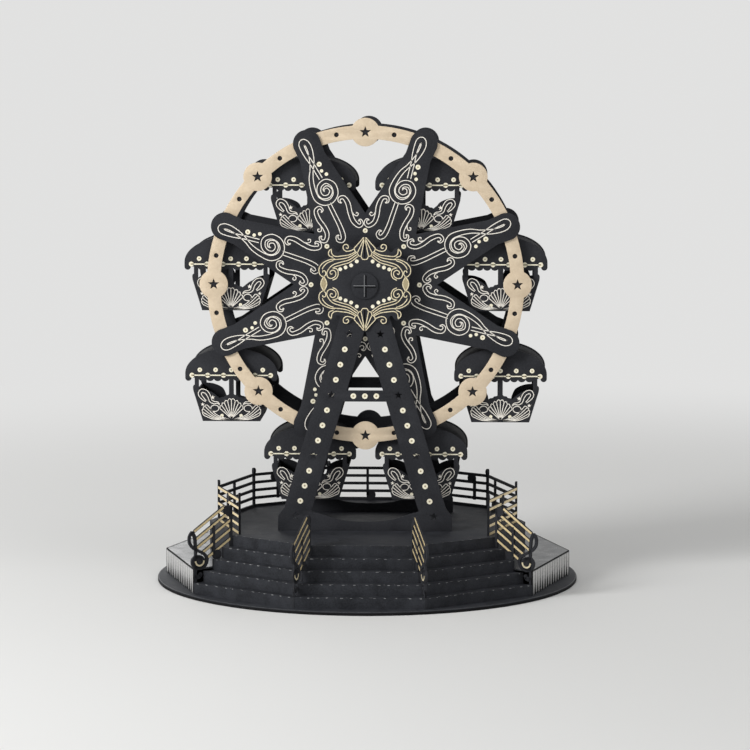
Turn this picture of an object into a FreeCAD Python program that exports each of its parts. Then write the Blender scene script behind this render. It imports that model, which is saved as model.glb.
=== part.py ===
import FreeCAD, Part
import math
import os

import Sketcher
from FreeCAD import Placement, Rotation, Vector

# A hand-cranked ferris wheel of cut card: a double wheel with eight hanging gondolas between two A-frames,
# on a stepped ten-sided platform with a staff-line fence and four stair railings.
# The origin is the middle of the base disc's underside. +Z is up, the stairs face -Y and the crank is at +Y.

SIZES = (
    ("base_radius", 125.0, "base disc"),
    ("base_thick", 2.0, "base disc's card"),
    ("card", 1.0, "card of platform, terrace and stairs"),
    ("seam", 0.05, "glue gap between two cards that meet"),
    ("cut_error", 0.30, "most that the chords of a cut curve lie off it"),
    ("terrace_radius", 120.5, "corner radius of the lower terrace"),
    ("terrace_rise", 14.6, "lower terrace above the base disc"),
    ("deck_radius", 94.3, "corner radius of the deck"),
    ("deck_rise", 31.6, "deck above the base disc"),
    ("staff_line", 1.7, "width of one staff line"),
    ("fence_radius", 89.5, "corner radius of the fence"),
    ("fence_pitch", 4.8, "staff lines of the fence"),
    ("rail_pitch", 5.35, "staff lines of a stair railing, measured upright"),
    ("rail_slope", 0.63, "fall of a railing for each millimetre outwards"),
    ("rail_rise", 44.0, "top line of a railing above the base disc, at the gauge point"),
    ("rail_gauge", 13.075, "gauge point of a railing's top line, in from the terrace's corner"),
    ("head_drop", 3.81025, "rear note's head under a railing's top line"),
    ("head_seat", 0.35, "how far the lower note's head sinks behind its tread"),
    ("clef_inset", 2.6, "clef in from the terrace's corner"),
    ("clef_lift", 8.8, "clef's foot above the base disc"),
    ("clef_post", 4.6, "post between the first tread and the clef"),
    ("rail_card", 1.0, "card of fence and railings"),
    ("note_radius", 2.9, "head of a note"),
    ("stem_width", 1.6, "stem of a note"),
    ("clef_height", 27.0, "clef above its foot"),
    ("clef_stroke", 1.7, "stroke of a clef"),
    ("frame_card", 1.5, "card of the A-frames"),
    ("frame_gap", 70.2, "between the inner faces of the A-frames"),
    ("frame_head", 16.0, "radius of an A-frame's round head"),
    ("leg_width", 15.8, "width of a leg"),
    ("leg_lean", 16.35, "lean of a leg, degrees"),
    ("leg_reach", 38.1, "leg's centre line from the middle, at the gauge height"),
    ("leg_gauge", 50.2, "gauge height of leg_reach"),
    ("foot_rise", 13.4, "spread foot of a leg above the deck"),
    ("arch_rise", 11.9, "foot band above the deck, beside a leg"),
    ("arch_middle_rise", 5.4, "foot band above the deck, at the middle"),
    ("brace_low", 109.7, "underside of the cross-brace"),
    ("brace_high", 116.2, "upper side of the cross-brace"),
    ("mark_drop", 28.2, "from the hub down to the first mark on a leg"),
    ("mark_pitch", 9.29, "pitch of stars and dots along a leg"),
    ("leg_star", 2.5, "radius of a star cut-out in a leg"),
    ("cartouche_reach", 27.6, "hub cartouche, from its middle to its edge"),
    ("cartouche_lift", 1.1, "middle of the cartouche above the axle"),
    ("hub_height", 177.4, "wheel's axis above the floor"),
    ("ring_radius", 88.6, "middle line of the wheel's rings"),
    ("pivot_radius", 85.4, "hanger rods from the wheel's axis"),
    ("ring_band", 7.9, "width of a ring"),
    ("star_disc", 8.3, "radius of a star disc on a ring"),
    ("ring_star", 3.45, "radius of a star cut-out in a ring"),
    ("ring_hole", 1.4, "radius of a round hole in a ring"),
    ("hole_angle", 10.9, "round hole from its star disc, degrees about the hub"),
    ("tip_radius", 8.05, "round end of an arm"),
    ("arm_neck", 7.64, "half width of an arm just before its round end"),
    ("arm_notch", 41.8, "notch between two arms"),
    ("arm_card", 1.2, "card of the spoke plates"),
    ("ring_card", 1.0, "card of the rings"),
    ("ring_gap", 53.2, "between the inner faces of the rings"),
    ("axle_radius", 3.0, "axle"),
    ("running", 0.05, "running clearance of a round bar in its hole"),
    ("hub_sleeve", 8.0, "sleeve on the axle between the spoke plates"),
    ("washer_radius", 9.0, "bearing washer on an A-frame"),
    ("washer_thick", 0.8, "thickness of a bearing washer"),
    ("play", 0.3, "end play of turning pieces"),
    ("cap_radius", 7.7, "round cap on the axle's front end"),
    ("rod_radius", 1.0, "hanger rod of a gondola"),
    ("lug_radius", 2.8, "lug round a gondola's hanger hole"),
    ("gondola_depth", 49.0, "over both panels of a gondola"),
    ("gondola_card", 0.8, "card of a gondola"),
    ("canopy_half", 27.1, "half width of the canopy"),
    ("canopy_rise", 15.0, "canopy's curve above its straight sides"),
    ("canopy_drop", 20.0, "from the pivot down to the canopy's straight sides"),
    ("eave_drop", 22.7, "from the pivot down to the canopy's lower edge"),
    ("scallop_drop", 1.9, "depth of one scallop"),
    ("post_half", 1.3, "half width of the middle post"),
    ("side_post_in", 19.2, "inner edge of a side post"),
    ("side_post_out", 21.6, "outer edge of a side post"),
    ("sill_drop", 30.3, "from the pivot down to the tub's widest place"),
    ("tub_half", 22.4, "half width of the tub at its widest place"),
    ("tub_foot", 16.9, "half width of the tub's bottom"),
    ("tub_drop", 48.3, "from the pivot down to the tub's underside"),
    ("back_sunk", 6.0, "rear panel's window below the front panel's, in the middle"),
    ("crank_throw", 28.0, "crank pin from the axle"),
    ("crank_card", 2.5, "thickness of the crank arm"),
    ("crank_half", 5.0, "half width of the crank arm"),
    ("pin_radius", 1.5, "crank pin"),
    ("knob_radius", 4.0, "crank knob"),
    ("knob_length", 11.0, "crank knob"),
)

PLATFORM_SIDES = 10
STAIR_RISERS = 5
STAFF_LINES = 5
ARMS = 8
LEG_MARKS = 12
BAR_SIDES = 16
FACET = 360.0 / PLATFORM_SIDES
FRONT = -90.0
UPRIGHT_TO_REAR = Rotation(Vector(1, 0, 0), -90)

doc = FreeCAD.newDocument("FerrisWheel")
sheet = doc.addObject("Spreadsheet::Sheet", "Sizes")
for row, (alias, value, note) in enumerate(SIZES, start=1):
    sheet.set("A%d" % row, note)
    sheet.set("B%d" % row, str(value))
    sheet.setAlias("B%d" % row, alias)
doc.recompute()

pieces = []


def size(alias):
    return float(sheet.get(alias))


def keep(piece, label):
    piece.Label = label
    pieces.append(piece)
    return piece


def point(x, z):
    return Vector(x, 0, z)


def polar(radius, degrees):
    angle = math.radians(degrees)
    return radius * math.cos(angle), radius * math.sin(angle)


def turned(x, z, degrees):
    reach = math.hypot(x, z)
    return polar(reach, math.degrees(math.atan2(z, x)) + degrees)


def apothem(corner_radius):
    return corner_radius * math.cos(math.radians(FACET / 2))


def chord_count(radius, sweep):
    # how many chords keep a cut curve within the stated error
    step = 2 * math.acos(max(0.0, 1 - size("cut_error") / radius))
    return max(2, math.ceil(sweep / step - 0.01))


class Outline:
    # a closed outline in the XZ plane, drawn edge by edge

    def __init__(self, x, z):
        self.first = point(x, z)
        self.pen = self.first
        self.edges = []

    def line(self, x, z):
        end = point(x, z)
        self.edges.append(Part.makeLine(self.pen, end))
        self.pen = end
        return self

    def arc(self, via, to):
        curve = Part.Arc(self.pen, point(*via), point(*to))
        sweep = curve.LastParameter - curve.FirstParameter
        return self.along(curve, chord_count(curve.toShape().Curve.Radius, sweep))

    def along(self, curve, chords):
        first, last = curve.FirstParameter, curve.LastParameter
        for k in range(1, chords + 1):
            place = curve.value(first + (last - first) * k / chords)
            self.line(place.x, place.z)
        return self

    def wire(self):
        if self.pen.distanceToPoint(self.first) > 1e-6:
            self.line(self.first.x, self.first.z)
        return Part.Wire(self.edges)


def face(outer, holes=()):
    return Part.makeFace([outer] + list(holes), "Part::FaceMakerBullseye")


def circle(x, z, radius, bore=False):
    # a round disc, or with bore a hole that leaves a bar of this radius free
    corners = max(6, chord_count(radius, 2 * math.pi))
    reach = radius / math.cos(math.pi / corners) if bore else radius
    shape = Outline(x + reach, z)
    for k in range(1, corners):
        across, up = polar(reach, 360.0 * k / corners)
        shape.line(x + across, z + up)
    return shape.wire()


def box(x_low, z_low, x_high, z_high):
    return Outline(x_low, z_low).line(x_high, z_low).line(x_high, z_high).line(x_low, z_high).wire()


def star(x, z, radius, turn=90.0):
    waist = 0.42 * radius
    corners = []
    for k in range(5):
        corners.append(polar(radius, turn + 72 * k))
        corners.append(polar(waist, turn + 72 * k + 36))
    shape = Outline(x + corners[0][0], z + corners[0][1])
    for across, up in corners[1:]:
        shape.line(x + across, z + up)
    return shape.wire()


def stroke(places, width, chords):
    # a band of one width along a smooth curve, with blunt round ends
    middle = Part.BSplineCurve()
    middle.interpolate([point(*place) for place in places])
    low, high = middle.FirstParameter, middle.LastParameter
    left, right = [], []
    for k in range(chords + 1):
        at = low + (high - low) * k / chords
        along = middle.tangent(at)[0]
        aside = Vector(-along.z, 0, along.x) * (width / 2)
        left.append(middle.value(at) + aside)
        right.append(middle.value(at) - aside)
    start_tip = middle.value(low) - middle.tangent(low)[0] * (width / 2)
    end_tip = middle.value(high) + middle.tangent(high)[0] * (width / 2)
    corners = left + [end_tip] + right[::-1] + [start_tip]
    return Part.makePolygon(corners + corners[:1])


def merged(wires):
    faces = [face(wire) for wire in wires]
    return faces[0].fuse(faces[1:]).removeSplitter()


def drawing(name, shape):
    flat = doc.addObject("Part::Feature", name)
    flat.Shape = shape
    return flat


def cut_card(label, flat, thickness, place=Placement(), symmetric=False):
    # card cut to a flat outline, thickened towards +Y
    card = doc.addObject("Part::Extrusion", label)
    card.Base = flat
    card.DirMode = "Custom"
    card.Dir = Vector(0, 1, 0)
    card.Solid = True
    card.Symmetric = symmetric
    card.setExpression("LengthFwd", thickness)
    card.Placement = place
    return card


def cylinder(name, radius, length, place=Placement()):
    bar = doc.addObject("Part::Cylinder", name)
    bar.setExpression("Radius", radius)
    bar.setExpression("Height", length)
    bar.Placement = place
    return bar


def along_axle(y, x=0.0, z=0.0):
    return Placement(Vector(x, y, z), UPRIGHT_TO_REAR)


def cut(name, body, tool):
    result = doc.addObject("Part::Cut", name)
    result.Base = body
    result.Tool = tool
    return result


def fuse(name, shapes):
    result = doc.addObject("Part::MultiFuse", name)
    result.Shapes = shapes
    result.Refine = True
    return result


def group(name, shapes):
    result = doc.addObject("Part::Compound", name)
    result.Links = shapes
    return result


# ---- platform ----

base = cylinder("base_disc", "Sizes.base_radius", "Sizes.base_thick")
keep(base, "base_disc")

floor_level = size("base_thick")
deck_level = floor_level + size("deck_rise")


def prism(name, radius, height, bottom="Sizes.base_thick"):
    shape = doc.addObject("Part::Prism", name)
    shape.Polygon = PLATFORM_SIDES
    shape.setExpression("Circumradius", radius)
    shape.setExpression("Height", height)
    shape.setExpression("Placement.Base.z", bottom)
    return shape


WALL_AT_CORNER = "Sizes.card / cos(%g)" % (FACET / 2)
deck_block = prism("deck_block", "Sizes.deck_radius", "Sizes.deck_rise")
deck_room = prism("deck_room", "Sizes.deck_radius - " + WALL_AT_CORNER, "Sizes.deck_rise - Sizes.card")
keep(cut("upper_platform", deck_block, deck_room), "upper_platform")

terrace_block = prism("terrace_block", "Sizes.terrace_radius", "Sizes.terrace_rise")
terrace_room = prism("terrace_room", "Sizes.terrace_radius - " + WALL_AT_CORNER,
                     "Sizes.terrace_rise - Sizes.card")
deck_space = prism("deck_space", "Sizes.deck_radius + Sizes.seam", "Sizes.deck_rise")


def divider_side(degrees, reach, side):
    # a place on one face of a divider card that stands on a radial line
    x, y = polar(reach, degrees)
    shift = size("rail_card") / 2 + size("seam")
    across_x, across_y = polar(shift, degrees + 90 * side)
    return Vector(x + across_x, y + across_y, 0)


def stair_sector():
    # the space over the three stair facets, with the outer dividers
    reach = 2 * size("terrace_radius")
    first, last = FRONT - 1.5 * FACET, FRONT + 1.5 * FACET
    corners = [divider_side(first, 0.0, -1), divider_side(first, reach, -1), Vector(0, -2 * reach, 0),
               divider_side(last, reach, 1), divider_side(last, 0.0, 1)]
    middle = Vector(0, 5.0, 0)
    return Part.Face(Part.makePolygon([middle] + corners + [middle]))


sector = doc.addObject("Part::Extrusion", "stair_space")
sector.Base = drawing("stair_sector", stair_sector())
sector.DirMode = "Custom"
sector.Dir = Vector(0, 0, 1)
sector.Solid = True
sector.setExpression("LengthFwd", "2 * Sizes.deck_rise")
terrace_cuts = fuse("terrace_cuts", [terrace_room, deck_space, sector])
keep(cut("lower_terrace", terrace_block, terrace_cuts), "lower_terrace")


# ---- stairs ----

def stair_profile():
    # places (from the axis, above the floor) of a folded card strip as expressions, upper side then underside
    foot = "Sizes.terrace_radius * cos(%g)" % (FACET / 2)
    top = "Sizes.deck_radius * cos(%g)" % (FACET / 2)
    treads = STAIR_RISERS - 1
    tread_run = "(%s - %s) / %d" % (foot, top, treads)
    riser = "Sizes.deck_rise / %d" % STAIR_RISERS
    upper = [("-(%s)" % foot, "Sizes.base_thick")]
    under = [("-(%s) + Sizes.card" % foot, "Sizes.base_thick")]
    for k in range(treads):
        nose = "-(%s) + %d * %s" % (foot, k, tread_run)
        back = "-(%s) + %d * %s" % (foot, k + 1, tread_run)
        level = "Sizes.base_thick + %d * %s" % (k + 1, riser)
        last = k == treads - 1
        end = back + (" - Sizes.seam" if last else "")
        inner_end = end if last else back + " + Sizes.card"
        upper += [(nose, level), (end, level)]
        under += [(nose + " + Sizes.card", level + " - Sizes.card"), (inner_end, level + " - Sizes.card")]
    return upper + under[::-1]


def sketch_polygon(sketch, corners):
    count = len(corners)
    for k in range(count):
        here = Vector(*polar(50 + k, 360.0 * k / count), 0)
        there = Vector(*polar(50 + (k + 1) % count, 360.0 * (k + 1) / count), 0)
        sketch.addGeometry(Part.LineSegment(here, there))
    for k in range(count):
        sketch.addConstraint(Sketcher.Constraint("Coincident", k, 2, (k + 1) % count, 1))
    for k, (across, up) in enumerate(corners):
        start = sketch.Geometry[k].StartPoint
        number = sketch.addConstraint(Sketcher.Constraint("DistanceX", -1, 1, k, 1, start.x))
        sketch.setExpression("Constraints[%d]" % number, across)
        number = sketch.addConstraint(Sketcher.Constraint("DistanceY", -1, 1, k, 1, start.y))
        sketch.setExpression("Constraints[%d]" % number, up)


def flight(label, turn):
    body = doc.addObject("PartDesign::Body", label + "_strip")
    sketch = body.newObject("Sketcher::SketchObject", label + "_profile")
    side_plane = [plane for plane in body.Origin.OriginFeatures if plane.Role == "YZ_Plane"][0]
    sketch.AttachmentSupport = [(side_plane, "")]
    sketch.MapMode = "FlatFace"
    sketch_polygon(sketch, stair_profile())
    pad = body.newObject("PartDesign::Pad", label + "_width")
    pad.Profile = sketch
    pad.Midplane = True
    pad.setExpression("Length", "Sizes.terrace_radius")
    # the space between two divider cards
    slope = "tan(%g)" % (FACET / 2)
    gap = "(Sizes.rail_card / 2 + Sizes.seam) / cos(%g)" % (FACET / 2)
    wedge = doc.addObject("Part::Wedge", label + "_space")
    wedge.setExpression("Ymin", "-2 * Sizes.terrace_radius")
    wedge.setExpression("Ymax", "-Sizes.deck_radius / 2")
    wedge.setExpression("Xmax", "2 * Sizes.terrace_radius * %s - %s" % (slope, gap))
    wedge.setExpression("Xmin", "-(2 * Sizes.terrace_radius * %s - %s)" % (slope, gap))
    wedge.setExpression("X2max", "Sizes.deck_radius / 2 * %s - %s" % (slope, gap))
    wedge.setExpression("X2min", "-(Sizes.deck_radius / 2 * %s - %s)" % (slope, gap))
    wedge.Zmin = wedge.Z2min = 0
    wedge.setExpression("Zmax", "2 * Sizes.deck_rise")
    wedge.setExpression("Z2max", "2 * Sizes.deck_rise")
    trimmed = doc.addObject("Part::MultiCommon", label)
    trimmed.Shapes = [body, wedge]
    trimmed.Placement = Placement(Vector(0, 0, 0), Rotation(Vector(0, 0, 1), turn))
    return keep(trimmed, label)


flight("stairs_left", -FACET)
flight("stairs_front", 0.0)
flight("stairs_right", FACET)


# ---- stair railings ----

def note(stem_x, stem_low, stem_high, head_z, head_side):
    # a quarter note: an upright stem with a round head beside it
    half = size("stem_width") / 2
    head_x = stem_x + head_side * (size("note_radius") - half)
    return [box(stem_x - half, stem_low, stem_x + half, stem_high), circle(head_x, head_z, size("note_radius"))]


def clef(x, z):
    # a G clef over (x, z): its stem with the foot's hook, and the loop that runs into the spiral
    width = size("clef_stroke")
    stem = [(-2.2, 1.6), (-0.4, 0.2), (1.4, 1.8), (1.0, 7.0), (1.0, 14.5), (1.2, 20.0), (1.8, 24.6), (3.3, 27.0)]
    loop = [(3.3, 27.0), (5.0, 24.6), (4.9, 20.8), (2.4, 17.6), (-1.2, 15.6), (-5.0, 13.4), (-6.6, 10.2), (-5.2, 6.9),
            (-1.6, 5.5), (2.2, 7.0), (3.2, 10.2), (1.2, 12.6), (-1.6, 12.3), (-2.8, 10.2)]
    scale = size("clef_height") / stem[-1][1]
    runs = ((stem, len(stem) - 1), (loop, 2 * len(loop) - 8))
    strokes = []
    for run, chords in runs:
        strokes.append(stroke([(x + scale * across, z + scale * up) for across, up in run], width, chords))
    return strokes + [circle(x - 1.9 * scale, z + 2.0 * scale, width * 0.75)]


def railing_card():
    # the stepped divider between two flights, five sloping staff lines, two notes and a clef at the foot
    front = size("terrace_radius")
    rear = size("deck_radius") + size("seam")
    riser = size("deck_rise") / STAIR_RISERS
    run = (front - size("deck_radius")) / (STAIR_RISERS - 1)
    slope, radius = size("rail_slope"), size("note_radius")
    middle = (front + rear) / 2
    gauge = front - size("rail_gauge")

    def staff(x, k):
        return floor_level + size("rail_rise") - k * size("rail_pitch") - (x - gauge) * slope

    wall = Outline(rear, floor_level).line(front, floor_level)
    for k in range(STAIR_RISERS - 1):
        level = floor_level + (k + 1) * riser
        wall.line(front - k * run, level).line(max(front - (k + 1) * run, rear), level)
    shapes = [wall.wire()]
    line_half = size("staff_line") / 2 * math.hypot(1.0, slope)
    for k in range(STAFF_LINES):
        start, end = rear if k else rear + 5.6, front - (0.4, 1.6, 1.6, 5.4, 9.0)[k]
        line = Outline(start, staff(start, k) - line_half).line(end, staff(end, k) - line_half)
        shapes.append(line.line(end, staff(end, k) + line_half).line(start, staff(start, k) + line_half).wire())
    shapes += note(rear + size("stem_width") / 2, floor_level + 4 * riser - 0.4, staff(rear, 1) + 1.2,
                   staff(rear + radius, 0) - size("head_drop"), 1)
    low_head = floor_level + 3 * riser + radius - size("head_seat")
    shapes += note(middle - 0.6, low_head, staff(middle, 1), low_head, -1)
    shapes += clef(front - size("clef_inset"), floor_level + size("clef_lift"))
    shapes.append(box(front - 2.0, floor_level + riser - 0.5, front - 0.6, floor_level + riser + size("clef_post")))
    return merged(shapes)


railing = drawing("railing_card", railing_card())
for number in range(4):
    angle = FRONT - 1.5 * FACET + number * FACET
    label = "stair_rail_%d" % (number + 1)
    radial = Placement(Vector(0, 0, 0), Rotation(Vector(0, 0, 1), angle))
    keep(cut_card(label, railing, "Sizes.rail_card", radial, symmetric=True), label)


# ---- fence ----

def fence_card(stem_x, head_up, head_side):
    # one folded panel: five staff lines, a note, and half of a knobbed post at each fold
    inner = apothem(size("fence_radius")) - size("rail_card")
    half = inner * math.tan(math.radians(FACET / 2)) - size("seam")
    line, pitch = size("staff_line"), size("fence_pitch")
    top = (STAFF_LINES - 1) * pitch + line
    shapes = [box(-half, k * pitch, half, k * pitch + line) for k in range(STAFF_LINES)]
    for side in (-1, 1):
        post = Outline(side * half, 0.0).line(side * half, top + 3.5).line(side * (half - 0.9), top + 2.9)
        post.line(side * (half - 1.25), top + 1.3).line(side * (half - 0.65), top - 0.3)
        shapes.append(post.line(side * (half - 0.65), 0.0).wire())
    radius = size("note_radius")
    if head_up:
        shapes += note(stem_x, pitch - 0.4, top - radius, top - radius - 0.4, head_side)
    else:
        shapes += note(stem_x, radius, top - line / 2, radius + 0.2, head_side)
    return merged(shapes)


# each facet's note: its stem along the panel, whether its head is up, and the head's side of the stem
FENCE_NOTES = {2: (3.0, True, -1), 3: (-13.0, False, -1), 4: (17.5, True, -1), 5: (-3.0, False, 1),
               6: (-9.9, True, -1), 7: (-3.0, False, 1), 8: (3.0, True, -1)}


def fence(label, facets):
    panels = []
    for facet in facets:
        outward = FRONT + facet * FACET
        x, y = polar(apothem(size("fence_radius")) - size("rail_card"), outward)
        place = Placement(Vector(x, y, deck_level), Rotation(Vector(0, 0, 1), outward - 90))
        name = "%s_panel_%d" % (label, facet)
        flat = drawing(name + "_card", fence_card(*FENCE_NOTES[facet]))
        panels.append(cut_card(name, flat, "Sizes.rail_card", place))
    keep(group(label, panels), label)


fence("fence_right", (2, 3))
fence("fence_rear", (4, 5, 6))
fence("fence_left", (7, 8))


# ---- A-frames ----

hub = size("hub_height")
lean = math.radians(size("leg_lean"))
leg_slope = math.tan(lean)
leg_half = size("leg_width") / 2 / math.cos(lean)


def leg_middle(z):
    return size("leg_reach") - (z - size("leg_gauge")) * leg_slope


def head_meets_leg():
    # where a leg's outer edge reaches the round head about the hub
    reach = leg_middle(hub) + leg_half
    radius = size("frame_head")
    a = 1 + leg_slope ** 2
    half_b = reach * leg_slope
    drop = (math.sqrt(half_b ** 2 - a * (reach ** 2 - radius ** 2)) - half_b) / a
    return reach + drop * leg_slope, hub - drop


def leg_stars():
    # the star cut-outs of the right-hand leg: every fourth mark down from the first
    height = hub - size("mark_drop")
    places = []
    for k in range(0, LEG_MARKS + 1, 4):
        along = k * size("mark_pitch")
        places.append((leg_middle(height) + along * math.sin(lean), height - along * math.cos(lean)))
    return places


def frame_outline():
    foot_kink = deck_level + size("foot_rise")
    foot_edge = foot_kink - 4.7
    foot_out = leg_middle(foot_kink) + leg_half + 3.6
    head_x, head_z = head_meets_leg()
    shape = Outline(head_x, head_z)
    shape.line(leg_middle(foot_kink) + leg_half, foot_kink)
    shape.line(foot_out, foot_edge).line(foot_out, deck_level)
    shape.line(-foot_out, deck_level).line(-foot_out, foot_edge)
    shape.line(-leg_middle(foot_kink) - leg_half, foot_kink)
    shape.line(-head_x, head_z).arc((0, hub + size("frame_head")), (head_x, head_z))
    return shape.wire()


def frame_card():
    low, high = size("brace_low"), size("brace_high")
    arch_side, corner = deck_level + size("arch_rise"), 2.0
    arch_middle = deck_level + size("arch_middle_rise")
    apex = size("leg_gauge") + (size("leg_reach") - leg_half) / leg_slope - 1.5

    def inner(z):
        return leg_middle(z) - leg_half

    upper = Outline(-inner(high), high).line(inner(high), high)
    upper.line(inner(apex), apex).line(-inner(apex), apex)
    lower = Outline(-inner(low), low).line(-inner(arch_side + corner), arch_side + corner)
    lower.arc((-inner(arch_side) - 0.1, arch_side - 0.4), (-inner(arch_side) + 2 * corner, arch_side - 1.6))
    lower.arc((0, arch_middle), (inner(arch_side) - 2 * corner, arch_side - 1.6))
    lower.arc((inner(arch_side) + 0.1, arch_side - 0.4), (inner(arch_side + corner), arch_side + corner))
    lower.line(inner(low), low)
    holes = [upper.wire(), lower.wire(), circle(0, hub, size("axle_radius") + size("play"), bore=True)]
    for x, z in leg_stars():
        holes.append(star(x, z, size("leg_star")))
        holes.append(star(-x, z, size("leg_star")))
    return face(frame_outline(), holes)


frame_flat = drawing("frame_card", frame_card())
frame_inner = size("frame_gap") / 2
frame_outer = frame_inner + size("frame_card")
front_place = Placement(Vector(0, -frame_outer, 0), Rotation())
rear_place = Placement(Vector(0, frame_inner, 0), Rotation())
keep(cut_card("front_frame", frame_flat, "Sizes.frame_card", front_place), "front_frame")
keep(cut_card("rear_frame", frame_flat, "Sizes.frame_card", rear_place), "rear_frame")


def prism_bar(name, radius, length):
    bar = doc.addObject("Part::Prism", name)
    bar.Polygon = BAR_SIDES
    bar.setExpression("Circumradius", radius)
    bar.setExpression("Height", length)
    return bar


def tube(name, outer, bore, length, place=Placement()):
    wall = prism_bar(name + "_wall", outer, length)
    hole = cylinder(name + "_bore", bore, length)
    sleeve = cut(name, wall, hole)
    sleeve.Placement = place
    return sleeve


AXLE_BORE = "Sizes.axle_radius + Sizes.running"
front_washer = tube("front_washer", "Sizes.washer_radius", AXLE_BORE, "Sizes.washer_thick",
                    along_axle(-frame_inner, z=hub))
rear_washer = tube("rear_washer", "Sizes.washer_radius", AXLE_BORE, "Sizes.washer_thick",
                   along_axle(frame_inner - size("washer_thick"), z=hub))
keep(group("frame_washers", [front_washer, rear_washer]), "frame_washers")


def cartouche_card():
    # the scrolled edge, quarter by quarter from the top shell round to the side oval
    quarter = [(0.0, 27.6), (2.2, 26.6), (4.4, 22.9), (7.2, 21.0), (9.4, 22.9), (12.4, 22.6), (13.7, 19.8),
               (15.6, 18.4), (17.2, 20.4), (19.6, 21.2), (21.0, 18.6), (20.4, 15.6), (23.6, 14.2), (26.6, 11.6),
               (27.6, 8.2), (26.4, 4.6), (25.7, 0.0)]
    scale = size("cartouche_reach") / quarter[0][1]
    quarter = [(x * scale, z * scale) for x, z in quarter]
    half = quarter + [(x, -z) for x, z in quarter[-2::-1]]
    ring = half + [(-x, z) for x, z in half[-2:0:-1]]
    lift = size("cartouche_lift")
    shape = Outline(ring[0][0], ring[0][1] + lift)
    for x, z in ring[1:]:
        shape.line(x, z + lift)
    return face(shape.wire(), [circle(0, 0, size("axle_radius") + size("play"), bore=True)])


cartouche_place = Placement(Vector(0, -frame_outer - size("card"), hub), Rotation())
cartouche_flat = drawing("cartouche_card", cartouche_card())
keep(cut_card("hub_cartouche", cartouche_flat, "Sizes.card", cartouche_place), "hub_cartouche")


# ---- wheel ----

ring_inner = size("ring_gap") / 2
ARM_STEP = 360.0 / ARMS


def spoke_card():
    tip = size("ring_radius")
    radius = size("tip_radius")
    neck = tip - radius - 0.5
    shoulder_u, shoulder_v = polar(radius, 100.0)
    first = polar(size("arm_notch"), 0.0)
    shape = Outline(*first)
    for k in range(ARMS):
        axis = (k + 0.5) * ARM_STEP
        shape.line(*turned(neck, -size("arm_neck"), axis))
        shape.line(*turned(tip + shoulder_u, -shoulder_v, axis))
        shape.arc(turned(tip + radius, 0.0, axis), turned(tip + shoulder_u, shoulder_v, axis))
        shape.line(*turned(neck, size("arm_neck"), axis))
        shape.line(*polar(size("arm_notch"), (k + 1) * ARM_STEP))
    return face(shape.wire(), [circle(0, 0, size("hub_sleeve") + size("seam"), bore=True)])


def ring_edge(edge_radius, disc_side):
    # a circle that swells round each star disc, outwards (1) or inwards (-1)
    middle = size("ring_radius")
    disc = size("star_disc")
    cosine = (edge_radius ** 2 + middle ** 2 - disc ** 2) / (2 * edge_radius * middle)
    swell = math.degrees(math.acos(cosine))
    shape = Outline(*polar(edge_radius, -swell))
    for k in range(ARMS):
        at = k * ARM_STEP
        shape.arc(polar(middle + disc_side * disc, at), polar(edge_radius, at + swell))
        shape.arc(polar(edge_radius, at + ARM_STEP / 2), polar(edge_radius, at + ARM_STEP - swell))
    return shape.wire()


def ring_holes():
    # a star in each disc, and a round hole on both sides of it
    middle = size("ring_radius")
    holes = []
    for k in range(ARMS):
        x, z = polar(middle, k * ARM_STEP)
        holes.append(star(x, z, size("ring_star")))
        for side in (-1, 1):
            x, z = polar(middle, k * ARM_STEP + side * size("hole_angle"))
            holes.append(circle(x, z, size("ring_hole")))
    return holes


def ring_card(pierced):
    middle = size("ring_radius")
    half = size("ring_band") / 2
    holes = ring_holes() if pierced else []
    return face(ring_edge(middle + half, 1), [ring_edge(middle - half, -1)] + holes)


def plain_ring():
    middle = size("ring_radius")
    half = size("ring_band") / 2
    return face(circle(0, 0, middle + half), [circle(0, 0, middle - half)])


def wheel_place(y):
    return Placement(Vector(0, y, hub), Rotation())


spoke_flat = drawing("spoke_card", spoke_card())
ring_card_thick = size("ring_card")
spoke_inner = ring_inner + 2 * ring_card_thick
spoke_outer = spoke_inner + size("arm_card")
keep(cut_card("rim_back", drawing("back_card", plain_ring()), "Sizes.ring_card",
              wheel_place(-ring_inner - ring_card_thick)), "rim_back")
keep(cut_card("rim_face", drawing("ring_card_pierced", ring_card(True)), "Sizes.ring_card",
              wheel_place(-spoke_inner)), "rim_face")
keep(cut_card("wheel_front", spoke_flat, "Sizes.arm_card", wheel_place(-spoke_outer)), "wheel_front")
keep(cut_card("rim_rear", drawing("ring_card_plain", ring_card(False)), "2 * Sizes.ring_card",
              wheel_place(ring_inner)), "rim_rear")
keep(cut_card("wheel_rear", spoke_flat, "Sizes.arm_card", wheel_place(spoke_inner)), "wheel_rear")

axle_front = frame_outer + size("card") + size("play")
crank_front = frame_outer + size("play")
crank_back = crank_front + size("crank_card")
AXLE_LENGTH = "Sizes.frame_gap + 2 * Sizes.frame_card + Sizes.card + 3 * Sizes.play + Sizes.crank_card"
axle = cylinder("axle", "Sizes.axle_radius", AXLE_LENGTH, along_axle(-axle_front, z=hub))
keep(axle, "axle")

sleeve_end = frame_inner - size("washer_thick") - size("play")
SLEEVE_LENGTH = "Sizes.frame_gap - 2 * (Sizes.washer_thick + Sizes.play)"
keep(tube("wheel_sleeve", "Sizes.hub_sleeve", AXLE_BORE, SLEEVE_LENGTH, along_axle(-sleeve_end, z=hub)),
     "wheel_sleeve")


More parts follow.
